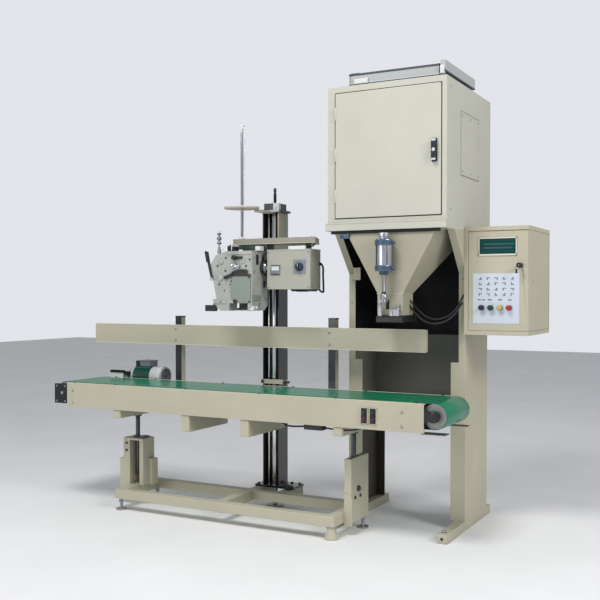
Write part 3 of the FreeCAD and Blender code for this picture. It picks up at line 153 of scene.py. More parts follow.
def metal(name, colour, roughness=0.25, brush=(1, 1, 1), scratch=0.08):
    """Bare metal with a brushed or turned grain along the axis of the smallest stretch."""
    material, tree, shader = new_tree(name)
    grain = noise(tree, 420.0, 4.0, 0.6, brush)
    tone = mottle(tree, grain, 0.3, 0.7, 1.0, shade(colour, 0.88), shade(colour, 1.06))
    tone = mottle(tree, noise(tree, 14.0, 4.0), 0.45, 0.75, 0.25, tone, shade(colour, 0.6))
    shader.inputs["Metallic"].default_value = 1.0
    shine = spread(tree, grain, roughness - 0.06, roughness + 0.1, 0.3, 0.7)
    coat_surface(tree, shader, tone, shine, grain, scratch, 0.15)
    return material


def plastic(name, colour, roughness=0.35, grain=0.12, dusty=1.25):
    """Moulded plastic or rubber with a fine grain and dust of a lighter tone."""
    material, tree, shader = new_tree(name)
    dust = noise(tree, 40.0, 5.0, 0.65)
    tone = mottle(tree, dust, 0.5, 0.8, 0.5, colour, shade(colour, dusty))
    shine = spread(tree, dust, roughness - 0.05, roughness + 0.15, 0.3, 0.7)
    coat_surface(tree, shader, tone, shine, noise(tree, 900.0, 2.0), grain, 0.2)
    return material


def belt_sheet(name, colour):
    """Smooth PVC belt: long scuffs along the travel over a faint woven backing."""
    material, tree, shader = new_tree(name)
    scuff = noise(tree, 60.0, 5.0, 0.7, (0.05, 1, 1))
    tone = mottle(tree, scuff, 0.48, 0.8, 0.45, colour, shade(colour, 1.5))
    tone = mottle(tree, noise(tree, 5.0, 4.0), 0.4, 0.8, 0.5, tone, shade(colour, 0.72))
    weave = add(tree, "ShaderNodeTexWave", {"Vector": place(tree), "Scale": 260.0, "Distortion": 0.4},
        bands_direction="DIAGONAL").outputs["Fac"]
    coat_surface(tree, shader, tone, spread(tree, scuff, 0.16, 0.4, 0.3, 0.8), weave, 0.04, 0.2)
    return material


def casting(name, colour):
    """Enamelled casting: coarse skin under a glossy coat."""
    material, tree, shader = new_tree(name)
    skin = noise(tree, 120.0, 6.0, 0.65)
    tone = mottle(tree, noise(tree, 16.0, 4.0), 0.3, 0.7, 1.0, shade(colour, 0.86), shade(colour, 1.08))
    # Painted shade: ambient occlusion darkens the colour in corners and hollows.
    painted_corner_shade = spread(tree, corner_shadow(tree, 0.02), 0.6, 0.0, 0.3, 0.9)
    tone = blend_colour(tree, painted_corner_shade, tone, shade(colour, 0.35))
    tone = blend_colour(tree, spread(tree, edge_mask(tree, 1.2 * MM), 0, 0.4), tone, shade(colour, 1.3))
    coat_surface(tree, shader, tone, spread(tree, skin, 0.28, 0.45, 0.3, 0.7), skin, 0.25, 0.4)
    shader.inputs["Coat Weight"].default_value = 0.3
    return material


def screen(name):
    """Dark liquid-crystal window with faint lighter rows."""
    material, tree, shader = new_tree(name)
    rows = add(tree, "ShaderNodeTexWave", {"Vector": place(tree), "Scale": 18.0}, bands_direction="Z")
    tone = mottle(tree, rows.outputs["Fac"], 0.4, 0.9, 0.5, (0.001, 0.045, 0.040), (0.006, 0.080, 0.075))
    tree.links.new(tone, shader.inputs["Base Color"])
    shader.inputs["Roughness"].default_value = 0.35
    shader.inputs["Specular IOR Level"].default_value = 0.15
    return material


BEIGE = (0.50, 0.47, 0.355)
CABINET = (0.545, 0.54, 0.46)
MATS = {
    "beige": paint("beige_powder_coat", BEIGE),
    "cabinet": paint("cabinet_powder_coat", CABINET, roughness=0.38),
    # Painted shade: olive for the shaded lower inside of the stand.
    "olive": paint("shaded_lining", (0.17, 0.175, 0.145), roughness=0.5),
    "black": paint("black_enamel", (0.012, 0.013, 0.015), roughness=0.32, wear=0.6, corner_shade=0.0),
    # Painted shade: near-black for shaded hollows inside the stand, the column channel, the motor grille,
    # under the hopper and in the spout slot.
    "painted_shade_black": paint("black_painted_shade", (0.0015, 0.002, 0.002), roughness=0.75, wear=0.0, corner_shade=0.0),
    "green_enamel": paint("motor_green_enamel", (0.015, 0.11, 0.075), roughness=0.3, wear=0.5, coat=0.3),
    "cover": paint("cover_green_grey", (0.23, 0.27, 0.23), roughness=0.35, coat=0.2),
    "white": paint("white_enamel", (0.72, 0.73, 0.72), roughness=0.3),
    "keypad": paint("keypad_film", (0.60, 0.66, 0.73), roughness=0.3, peel=0.03, wear=0.0, corner_shade=0.0),
    "ink": plastic("keypad_ink", (0.06, 0.07, 0.13), roughness=0.5),
    "cast": casting("head_casting_enamel", (0.40, 0.415, 0.38)),
    # Painted shade: the stand's beige darkened to 0.78 for the shaded hopper.
    "hopper_shaded_beige": paint("hopper_beige_painted_shade", tuple(0.78 * level for level in BEIGE)),
    "jaw_rubber": plastic("jaw_rubber", (0.005, 0.005, 0.006), roughness=0.5),
    # Painted shade: dark brown for the left leg's shaded inner side.
    "leg_shade": paint("leg_painted_shade_brown", (0.045, 0.04, 0.03), roughness=0.6, wear=0.1),
    "seam": paint("seam_beige", (0.28, 0.27, 0.22), roughness=0.6),
    "arm": paint("arm_enamel", (0.30, 0.285, 0.22), roughness=0.36),
    "switch": paint("switch_box_enamel", (0.40, 0.395, 0.335), roughness=0.36),
    "chrome": metal("polished_steel", (0.68, 0.69, 0.71), roughness=0.17, brush=(1, 1, 0.02), scratch=0.03),
    "zinc": metal("zinc_plate", (0.40, 0.415, 0.43), roughness=0.36),
    "turned": metal("turned_steel", (0.66, 0.67, 0.68), roughness=0.3, brush=(0.05, 1, 1)),
    "stainless": metal("brushed_stainless", (0.60, 0.60, 0.60), roughness=0.3, brush=(1, 1, 0.03)),
    "aluminium": metal("anodised_barrel", (0.72, 0.75, 0.80), roughness=0.22, brush=(1, 1, 0.02)),
    "blue_grey": paint("cylinder_cap_blue", (0.045, 0.085, 0.14), roughness=0.35, coat=0.2),
    "belt": belt_sheet("green_belt", (0.004, 0.20, 0.095)),
    "rubber": plastic("black_rubber", (0.012, 0.012, 0.013), roughness=0.6, grain=0.3, dusty=2.2),
    "plastic": plastic("black_plastic", (0.014, 0.015, 0.018), roughness=0.38),
    "pale": plastic("pale_plastic", (0.62, 0.65, 0.68), roughness=0.3),
    "screen": screen("display_glass"),
    "blue": plastic("blue_cap", (0.008, 0.011, 0.040), roughness=0.3),
    "green": plastic("green_cap", (0.004, 0.040, 0.030), roughness=0.3),
    "yellow": plastic("yellow_cap", (0.50, 0.40, 0.14), roughness=0.3),
    "red": plastic("red_cap", (0.36, 0.02, 0.045), roughness=0.3),
    "slate": paint("slate_gasket", (0.055, 0.085, 0.095), roughness=0.35, wear=0.5),
    "display_ink": plastic("display_ink", (0.015, 0.080, 0.095), roughness=0.3, grain=0.0),
    "edge_beige": paint("edge_beige", (0.68, 0.66, 0.54), roughness=0.38, wear=0.5),
    "dark_steel": metal("blued_steel", (0.10, 0.11, 0.12), roughness=0.32),
    "drum_end": metal("drum_end_plate", (0.33, 0.34, 0.325), roughness=0.5),
    "silver_paint": paint("silver_enamel", (0.60, 0.62, 0.64), roughness=0.25, coat=0.4),
    "pale_grey": paint("pale_grey_enamel", (0.46, 0.47, 0.47), roughness=0.35, peel=0.25),
    "rotary_grey": paint("rotary_plate_grey", (0.20, 0.235, 0.27), roughness=0.3),
    "grille": plastic("slate_plastic", (0.17, 0.19, 0.22), roughness=0.4),
    "gloss_black": paint("gloss_black_enamel", (0.010, 0.014, 0.016), 0.16, wear=0.3, corner_shade=0.0, coat=0.6),
    "dark_green": plastic("dark_green_cap", (0.006, 0.035, 0.018), roughness=0.3),
    "dark_red": plastic("dark_red_cap", (0.09, 0.012, 0.014), roughness=0.3),
    # Painted shadow: dark green for the shaded underside of the arm.
    "arm_painted_shadow_green": paint("arm_painted_shadow_green", (0.012, 0.055, 0.045), roughness=0.35),
    "blue_plastic": plastic("knob_blue", (0.02, 0.035, 0.07), roughness=0.3),
}

LOOK_NODES = {
    "beige": ("base_frame lift_sleeves thread_tray filler_frame control_box control_door "
        "deck_frame guide_rail guide_posts"),
    "zinc": "levelling_feet cylinder_rod gearbox_sprocket main_shaft feed_dog motor_pulley thread_rod",
    "gloss_black": "sewing_column",
    "chrome": "guide_bars panel_key needle_bar looper",
    "black": ("lead_screw roller_bearings gearbox drive_chain carriage presser_foot presser_lever "
        "sewing_motor"),
    "cabinet": "cabinet_shell cabinet_door",
    "plastic": "door_handle button_stations rotary_switch",
    "silver_paint": "inlet_frame",
    "hopper_shaded_beige": "hopper",
    "jaw_rubber": "clamp_jaw_front clamp_jaw_rear",
    "aluminium": "air_cylinder",
    "stainless": "weigh_bucket bucket_gate",
    "blue": "button_blue",
    "green": "button_green conveyor_start_button sewing_start_button",
    "yellow": "button_yellow",
    "red": "button_red conveyor_stop_button sewing_stop_button",
    "belt": "conveyor_belt",
    "turned": "head_roller tail_roller",
    "dark_steel": "lift_rods",
    "green_enamel": "drive_motor",
    "arm": "arm_plate",
    "cast": "head_casting",
    "cover": "head_cover",
    "rubber": "vee_belt",
    "switch": "switch_box",
    "pale": "rocker_switch",
}
NODE_LOOKS = {node: look for look, nodes in LOOK_NODES.items() for node in nodes.split()}
NODE_EDGES = {
    "cabinet_door": 2.5, "control_door": 1.2, "cabinet_shell": 1.5, "base_frame": 4.0, "filler_frame": 1.2,
    "guide_posts": 3.0, "head_casting": 4.0, "switch_box": 1.8, "roller_bearings": 1.5, "gearbox": 5.0,
    "door_handle": 3.0, "drive_motor": 2.0, "sewing_motor": 3.0, "rocker_switch": 2.5, "lift_sleeves": 2.0,
}


def soften(thing, width):
    """Round an object's sharp edges by a width in millimetres."""
    weld = thing.modifiers.new("weld", "WELD")
    weld.merge_threshold = 0.01 * MM
    bevel = thing.modifiers.new("edges", "BEVEL")
    bevel.width = width * MM
    bevel.segments = 2
    bevel.limit_method = "ANGLE"
    bevel.angle_limit = SHARP
    bevel.harden_normals = False
    bevel.use_clamp_overlap = True


def dress_nodes():
    """Give every CAD node its material and softened edges."""
    for name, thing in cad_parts.items():
        look = MATS[NODE_LOOKS[name]]
        if not thing.material_slots:
            thing.data.materials.append(look)
        for material_slot in thing.material_slots:
            material_slot.material = look
        soften(thing, NODE_EDGES.get(name, 0.8))


# ---------------------------------------------------------------- mesh pieces

TURN = {"x": Matrix.Rotation(math.pi / 2, 4, "Y"), "y": Matrix.Rotation(-math.pi / 2, 4, "X"),
    "z": Matrix.Identity(4)}


def polar(first, second, radius, angle):
    """The two coordinates of a point on a circle about a centre; the angle is in degrees."""
    return first + radius * math.cos(math.radians(angle)), second + radius * math.sin(math.radians(angle))


class Piece:
    """Collects solids into one mesh piece.  Lengths are in millimetres."""

    def __init__(self):
        self.mesh = bmesh.new()

    def block(self, x, y, z):
        """A box between two values on each axis."""
        low = Vector((min(x), min(y), min(z))) * MM
        high = Vector((max(x), max(y), max(z))) * MM
        made = bmesh.ops.create_cube(self.mesh, size=1.0)
        size = high - low
        bmesh.ops.transform(self.mesh, verts=made["verts"],
            matrix=Matrix.Translation((low + high) / 2) @ Matrix.Diagonal((*size, 1.0)))
        return self

    def circles(self, axis, centre, profile, sides):
        """Loops of vertices around an axis, one for each (radius, distance along the axis)."""
        turn = Matrix.Translation(Vector(centre) * MM) @ TURN[axis]
        loops = []
        for radius, along in profile:
            spots = [Vector((*polar(0, 0, radius, 360 * k / sides), along)) * MM for k in range(sides)]
            loops.append([self.mesh.verts.new(turn @ spot) for spot in spots])
        return loops

    def skin(self, near, far):
        """Faces between two loops of the same length."""
        count = len(near)
        for k in range(count):
            self.mesh.faces.new((near[k], near[(k + 1) % count], far[(k + 1) % count], far[k]))

    def lathe(self, axis, centre, profile, sides=32):
        """A solid of revolution; the profile is a list of (radius, distance along the axis)."""
        loops = self.circles(axis, centre, profile, sides)
        for near, far in zip(loops, loops[1:]):
            self.skin(near, far)
        self.mesh.faces.new(list(reversed(loops[0])))
        self.mesh.faces.new(loops[-1])
        return self

    def ring(self, axis, centre, inner, outer, start, end, sides=48):
        """A flat ring or tube."""
        section = [(inner, start), (outer, start), (outer, end), (inner, end)]
        loops = self.circles(axis, centre, section, sides)
        for near, far in zip(loops, loops[1:] + loops[:1]):
            self.skin(near, far)
        return self

    def window(self, x, y, z, jamb, sill, head):
        """A rectangular frame: two uprights as wide as the jamb, a lower bar and an upper bar."""
        for side in ((x[0], x[0] + jamb), (x[1] - jamb, x[1])):
            self.block(side, y, z)
        for bar in ((z[0], z[0] + sill), (z[1] - head, z[1])):
            self.block(x, y, bar)
        return self

    def spoke(self, y, z, angle, near, far, half, start, end):
        """A radial plate around an X axis through (y, z): from near to far, twice half thick."""
        c, s = math.cos(math.radians(angle)), math.sin(math.radians(angle))
        corners = ((near, half), (far, half), (far, -half), (near, -half))
        outline = [(y + reach * c - side * s, z + reach * s + side * c) for reach, side in corners]
        return self.extrude_outline("x", outline, start, end)

    def hexagon_bolt(self, axis, seat, size, sign=1):
        """Washer, hexagon head and shank end standing on a face; size is the thread diameter."""
        head, height = size * 0.9, size * 0.65
        self.lathe(axis, seat, [(size * 1.1, 0), (size * 1.1, sign * size * 0.15)][::sign], 24)
        self.lathe(axis, seat, [(head, sign * size * 0.15), (head, sign * (size * 0.15 + height * 0.8)),
            (head * 0.86, sign * (size * 0.15 + height))][::sign], 6)
        return self

    def pan_screw(self, axis, seat, radius, sign=1):
        """Pan-head screw with a domed head."""
        steps = [(radius, 0.0), (radius, sign * radius * 0.35), (radius * 0.8, sign * radius * 0.6),
            (radius * 0.35, sign * radius * 0.72), (radius * 0.3, sign * radius * 0.35)]
        self.lathe(axis, seat, steps[::sign], 20)
        return self

    def extrude_outline(self, axis, outline, start, end):
        """A flat outline pushed along an axis; its points are the other two coordinates in order."""
        order = {"x": lambda a, b, c: (c, a, b), "y": lambda a, b, c: (a, c, b), "z": lambda a, b,
            c: (a, b, c)}[axis]
        near = [self.mesh.verts.new(Vector(order(a, b, start)) * MM) for a, b in outline]
        far = [self.mesh.verts.new(Vector(order(a, b, end)) * MM) for a, b in outline]
        self.skin(near, far)
        self.mesh.faces.new(list(reversed(near)))
        self.mesh.faces.new(far)
        return self

    def pan_screws(self, axis, seats, radius, sign=1):
        """Pan-head screws of one size at several seats."""
        for seat in seats:
            self.pan_screw(axis, seat, radius, sign)
        return self

    def hexagon_bolts(self, axis, seats, size, sign=1):
        """Hexagon bolts of one size at several seats."""
        for seat in seats:
            self.hexagon_bolt(axis, seat, size, sign)
        return self

    def finish(self, name, body, look, edge):
        """Make the object, ride it on a body and give it its material and soft edges."""
        bmesh.ops.recalc_face_normals(self.mesh, faces=self.mesh.faces)
        data = bpy.data.meshes.new(name)
        self.mesh.to_mesh(data)
        self.mesh.free()
        data.materials.append(MATS[look])
        for face in data.polygons:
            face.use_smooth = True
        data.set_sharp_from_angle(angle=SHARP)
        thing = bpy.data.objects.new(name, data)
        bpy.context.scene.collection.objects.link(thing)
        if edge:
            soften(thing, edge)
        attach(thing, body)


def boxes(name, body, look, edge, *ranges):
    """A piece made of boxes, each given by its two values on X, Y and Z."""
    piece = Piece()
    for x, y, z in ranges:
        piece.block(x, y, z)
    piece.finish(name, body, look, edge)


def turned(name, body, look, edge, axis, centre, profile, sides=32):
    """A piece that is one solid of revolution."""
    Piece().lathe(axis, centre, profile, sides).finish(name, body, look, edge)


def cable(name, body, look, points, radius):
    """A round cable or wire through points in millimetres."""
    curve = bpy.data.curves.new(name, "CURVE")
    curve.dimensions = "3D"
    curve.bevel_depth = radius * MM
    curve.bevel_resolution = 3
    curve.resolution_u = 12
    curve.use_fill_caps = True
    line = curve.splines.new("BEZIER")
    line.bezier_points.add(len(points) - 1)
    for knot, spot in zip(line.bezier_points, points):
        knot.co = Vector(spot) * MM
        knot.handle_left_type = knot.handle_right_type = "AUTO"
    curve.materials.append(MATS[look])
    thing = bpy.data.objects.new(name, curve)
    bpy.context.scene.collection.objects.link(thing)
    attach(thing, body)


def grid(first, second, third):
    """All the points with one of the values on each axis."""
    return [(x, y, z) for x in first for y in second for z in third]


def limits(node):
    """A CAD node's lowest and highest corners in millimetres."""
    low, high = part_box(node)
    return Vector(low) / MM, Vector(high) / MM


def middle(node):
    """The centre of a CAD node's box in millimetres."""
    low, high = limits(node)
    return (low + high) / 2


# ------------------------------------------------------------ stand and cabinet

def stand_details():
    """Painted shade sheets inside the stand, a bracket, screws, floor bolts and tube end caps."""
    frame_low, frame_high = limits("filler_frame")
    left, right = frame_low.x + 3, frame_high.x - 3
    back, knee, top = 334, 1270, 1470
    # Painted shade: black sheets above the rail and olive sheets below stand in for the shade inside the
    # stand.
    upper = [(-26, 960), (back, 960), (back, top), (-194, top), (-26, knee + 4)]
    lower = [(-26, 46), (back, 46), (back, 950), (-26, 950)]
    black, olive = Piece(), Piece()
    for outline, piece in ((upper, black), (lower, olive)):
        piece.extrude_outline("x", outline, left + 0.1, left + 1.6)
        piece.extrude_outline("x", outline, right - 1.6, right - 0.1)
    black.block((left + 2, right - 2), (back - 2, back - 0.2), (960, top))
    olive.block((left + 2, right - 2), (back - 2, back - 0.2), (604, 950))
    black.finish("stand_painted_shade_upper", "stand", "painted_shade_black", 0)
    olive.finish("stand_painted_shade_lower", "stand", "olive", 0)
    boxes("stand_painted_shade_rail", "stand", "painted_shade_black", 1,
        ((left + 2, right - 2), (back - 16, back - 2), (948, 962)))
    boxes("stand_bracket", "stand", "beige", 1.5, ((499, 538), (-62, -56), (1237, 1301)),
        ((480, 503), (-62, -34), (1240, 1262)))
    screws = Piece().pan_screws("y", ((518, -62, 1252), (518, -62, 1286)), 4, -1)
    screws.pan_screws("y", grid((frame_low.x + 18, frame_high.x - 18), (-30,), (1120, 1240)), 4.5, -1)
    screws.finish("stand_screws", "stand", "zinc", 0)
    boxes("stand_tube_caps", "stand", "beige", 1,
        *[((x + 1.5, x + 48.5), y, (1.5, 43.5)) for x in (frame_low.x, frame_high.x - 50)
        for y in ((-303, -300), (400, 403))])
    plugs = Piece()
    for x in (frame_low.x + 25, frame_high.x - 25):
        plugs.lathe("y", (x, -303, 23), [(7, 0), (7, -1.5), (5, -2.5)], 24)
    plugs.finish("stand_tube_plugs", "stand", "plastic", 0)
    # Painted shade: dark brown sheets on the left leg's inner side, where the deck shades it.
    boxes("left_leg_painted_shade", "stand", "leg_shade", 0, ((left + 1.7, left + 2.4), (-26, back), (48, 600)),
        ((left + 2.5, frame_low.x + 49), (back - 1.6, back - 0.2), (48, 600)))
    anchors = Piece().hexagon_bolts("z",
        grid((frame_low.x + 25, frame_high.x - 25), (-265, 365), (45,)), 12)
    anchors.finish("stand_anchor_bolts", "stand", "zinc", 0.4)


def cabinet_details():
    """Door seal, lock plate, side hatch, rear vents and the seams of the cabinet."""
    door_low, door_high = limits("cabinet_door")
    seal = Piece()
    outer, inner, face = 4.5, 1.6, -322.6
    for x in (door_low.x, door_high.x):
        sign = -1 if x == door_low.x else 1
        seal.block((x + sign * inner, x + sign * outer), (face, -321),
            (door_low.z - outer, door_high.z + outer))
    for z in (door_low.z, door_high.z):
        sign = -1 if z == door_low.z else 1
        seal.block((door_low.x - inner, door_high.x + inner), (face, -321),
            (z + sign * inner, z + sign * outer))
    seal.finish("cabinet_door_seal", "stand", "rubber", 0)
    boxes("door_lock_plate", "cabinet_door", "blue_plastic", 1.2,
        ((1018, 1044), (-330, -326.9), (1776, 1884)))
    tips = Piece()
    for z in (1782, 1870):
        tips.block((1021, 1041), (-346.5, -344), (z, z + 9))
    tips.lathe("y", (1031, -345, 1830), [(8, 0), (8, -2), (5, -3), (5, -2.4)])
    tips.finish("door_lock_cylinder", "door_handle", "pale", 0.3)
    hinges = Piece()
    for z in (1640, 1840, 2040):
        hinges.lathe("z", (523, -327, z - 32),
            [(4.5, 0), (5, 1), (5, 31), (4, 31.5), (4, 32.5), (5, 33), (5, 63), (4.5, 64)], 20)
    hinges.finish("cabinet_hinges", "cabinet_door", "cabinet", 0)
    boxes("cabinet_side_hatch", "stand", "cabinet", 1, ((1088, 1089.6), (-115, 170), (1738, 2040)))
    gaps = Piece()
    for z, half in ((1735, 3.0), (2043, 1.6)):
        gaps.block((1088, 1088.7), (-118, 173), (z - half, z + half))
    for y in (-118, 173):
        gaps.block((1088, 1088.7), (y - 1.4, y + 1.4), (1733, 2044))
    gaps.finish("cabinet_hatch_seam", "stand", "seam", 0)
    screws = Piece().pan_screws("x", grid((1089.6,), (-96, 28, 151), (1756, 2022)), 4.5)
    for x, sign in ((1088, 1), (480, -1)):
        screws.pan_screws("x", grid((x,), (-270, 330), (1560, 2130)), 4, sign)
    screws.finish("cabinet_screws", "stand", "zinc", 0)
    boxes("cabinet_rear_panel", "stand", "cabinet", 1, ((520, 1028), (376, 378), (1560, 2120)))
    vents = Piece()
    for k in range(9):
        z = 2000 - k * 16
        vents.extrude_outline("x", [(378, z), (384, z - 5), (384, z - 7), (378, z - 9)], 690, 860)
    vents.finish("cabinet_rear_louvres", "stand", "cabinet", 0.5)
    corners = Piece().pan_screws("y", grid((534, 1014), (378,), (1574, 1840, 2106)), 4.5)
    corners.finish("cabinet_rear_screws", "stand", "zinc", 0)
    boxes("cabinet_band_edge", "stand", "cabinet", 0.6, ((471, 1087), (-333.5, -332), (1505, 1511)))


def inlet_details():
    """Gasket, dark flange edges, webs, side rail, corner clips and bolts of the inlet."""
    low, high = limits("inlet_frame")
    gasket, rail, web = Piece(), Piece(), Piece()
    for (x0, x1, y0, y1) in ((low.x, high.x, low.y, low.y + 8), (low.x, high.x, high.y - 8, high.y),
            (low.x, low.x + 8, low.y, high.y), (high.x - 8, high.x, low.y, high.y)):
        gasket.block((x0 - 1, x1 + 1), (y0 - 1, y1 + 1), (high.z - 6, high.z + 1.5))
        rail.block((x0 - 0.6, x1 + 0.6), (y0 - 0.6, y1 + 0.6), (2183, 2187))
        web.block((x0 + 2, x1 - 2), (y0 + 2, y1 - 2), (2187.5, 2228.5))
    gasket.finish("inlet_gasket", "stand", "slate", 1)
    rail.finish("inlet_lower_edge", "stand", "slate", 0.5)
    web.finish("inlet_webs", "stand", "pale_grey", 0.5)
    boxes("inlet_side_rail", "stand", "pale_grey", 1.5,
        ((high.x + 1.2, high.x + 25), (low.y, high.y), (2206, 2253)))
    boxes("inlet_side_rail_edge", "stand", "slate", 0.5,
        ((high.x + 1.2, high.x + 26), (low.y, high.y), (2200, 2205.8)))
    boxes("inlet_corner_clips", "stand", "white", 2, ((604, 676), (low.y - 8, low.y + 1), (2185, 2210)),
        ((high.x + 1, high.x + 21), (low.y - 8, low.y + 14), (2188, 2228)),
        ((low.x - 5, low.x + 20), (high.y - 18, high.y + 5), (2180, 2221)),
        ((high.x - 20, high.x + 5), (high.y - 2, high.y + 5), (2180, 2221)))
    boxes("inlet_corner_tab", "stand", "pale_grey", 1, ((584, 626), (low.y - 4, low.y + 16), (2237, 2241)))
    rows = (low.y + 80, (low.y + high.y) / 2, high.y - 80)
    bolts = Piece().hexagon_bolts("z", grid((low.x + 17, high.x - 17), rows, (high.z,)), 8)
    bolts.finish("inlet_bolts", "stand", "zinc", 0.3)


def hopper_details():
    """Painted shadow strip under the cabinet band, hopper weld seam, cylinder fittings, clevis, clamp links
    and hoses.
    """
    # Painted shadow: a black strip under the cabinet band, above the hopper.
    boxes("hopper_top_painted_shadow", "stand", "painted_shade_black", 0.8, ((500, 1058), (-328, -316), (1457, 1471.5)))
    fitting = Piece().block((549, 598), (-332, -312), (1434, 1456.8)).lathe("y", (560, -332, 1445),
        [(7, 0), (7, -5), (5, -6)], 20)
    fitting.finish("hopper_vent_fitting", "stand", "blue_grey", 1.5)
    boxes("hopper_weld", "stand", "beige", 0.7, ((742, 876), (-321.6, -319.9), (1164, 1170)))
    x, y = 797, -368
    caps = Piece()
    for low, high in ((1273, 1300), (1393, 1420)):
        caps.lathe("z", (x, y, 0), [(40, low), (43.5, low + 3), (43.5, high - 3), (40, high)], 40)
    caps.lathe("z", (x, y, 0), [(17, 1255), (22, 1258), (22, 1273)], 24)
    caps.finish("cylinder_caps", "stand", "blue_grey", 0.8)
    turned("cylinder_top_nut", "stand", "aluminium", 0.6, "z", (x, y, 0),
        [(21, 1420), (23, 1424), (23, 1432), (27, 1435), (27, 1450), (24, 1453)], 36)
    turned("cylinder_barrel", "stand", "aluminium", 0, "z", (x, y, 0),
        [(36.6, 1300.5), (36.9, 1304), (36.9, 1389), (36.6, 1392.5)], 48)
    rods = Piece()
    for k in range(4):
        rods.lathe("z", (*polar(x, y, 39.5, 45 + 90 * k), 0), [(2.2, 1300), (2.2, 1393)], 12)
        rods.lathe("z", (*polar(x, y, 36, 45 + 90 * k), 0), [(5, 1420), (5, 1424)], 6)
    rods.finish("cylinder_tie_rods", "stand", "blue_grey", 0)
    ports = Piece()
    for z in (1286, 1406):
        ports.lathe("x", (x + 42, y, z), [(6, 0), (6, 7), (7.5, 7), (7.5, 13), (5, 15)], 20)
    ports.finish("cylinder_ports", "stand", "blue_grey", 0.4)
    clevis = Piece().block((x - 15, x + 15), (y - 15, y + 15), (1126, 1139))
    clevis.lathe("z", (x, y, 0), [(14.4, 1135), (16, 1139), (16, 1159), (12, 1165)], 28)
    clevis.lathe("y", (x, y, 1132.5), [(5, -21), (6.5, -20), (6.5, -16), (4.5, -15), (4.5, 9), (5, 10)], 20)
    clevis.finish("clamp_clevis", "cylinder_rod", "zinc", 0.8)
    turned("rod_lock_nut", "cylinder_rod", "dark_steel", 0.3, "z", (x, y, 0),
        [(8.4, 1165), (11, 1167), (11, 1175), (8.4, 1177)], 20)
    links = Piece()
    for low, high, top in ((760, 778, 1132), (822, 834, 1092)):
        links.extrude_outline("x",
            [(-352, 1060.5), (-352, top - 6), (-349, top), (-345, top), (-345, 1060.5)], low, high)
    links.block((816, 866), (-349, -344.4), (1062, 1092))
    links.lathe("y", (769, -352, 1122), [(5, 0), (5, -4), (3.5, -5)], 6)
    links.finish("clamp_links", "clamp_jaw_front", "zinc", 0.8)
    # Painted shade: a black plate for the shaded slot in the spout front.
    boxes("spout_slot_plate", "stand", "painted_shade_black", 0.6, ((790, 804), (-324, -320.1), (1094, 1138)))
    guide = Piece().block((846, 860), (-326, -320.1), (1086, 1116))
    guide.lathe("y", (853, -326, 1108), [(7, 0), (7, -6), (5, -7)], 24)
    guide.finish("spout_link_bracket", "stand", "zinc", 0.8)
    skirt = Piece()
    for y0, y1 in ((-322.4, -319.6), (-190.4, -187.6)):
        skirt.block((741.6, 876.4), (y0, y1), (1032, 1064))
    for x0 in (741.6, 873.6):
        skirt.block((x0, x0 + 2.8), (-320, -190), (1032, 1064))
    skirt.finish("spout_skirt", "stand", "jaw_rubber", 0.8)
    for name, inner, outer, body in (("front", -344, -347, "clamp_jaw_front"),
            ("rear", -166, -163, "clamp_jaw_rear")):
        boxes(f"jaw_backing_{name}", body, "black", 0.8, ((749, 881), (inner, outer), (1033, 1057)))
    cable("clamp_valve_cable", "stand", "jaw_rubber",
        [(872, -230, 1112), (905, -222, 1066), (950, -200, 1030), (1000, -165, 1026), (1046, -110, 1058),
        (1080, -60, 1124)], 5)
    cable("clamp_air_hose", "stand", "jaw_rubber",
        [(872, -225, 1136), (912, -216, 1088), (958, -190, 1050), (1006, -150, 1048), (1052, -90, 1088),
        (1080, -40, 1160)], 4)


# ---------------------------------------------------------------- control box

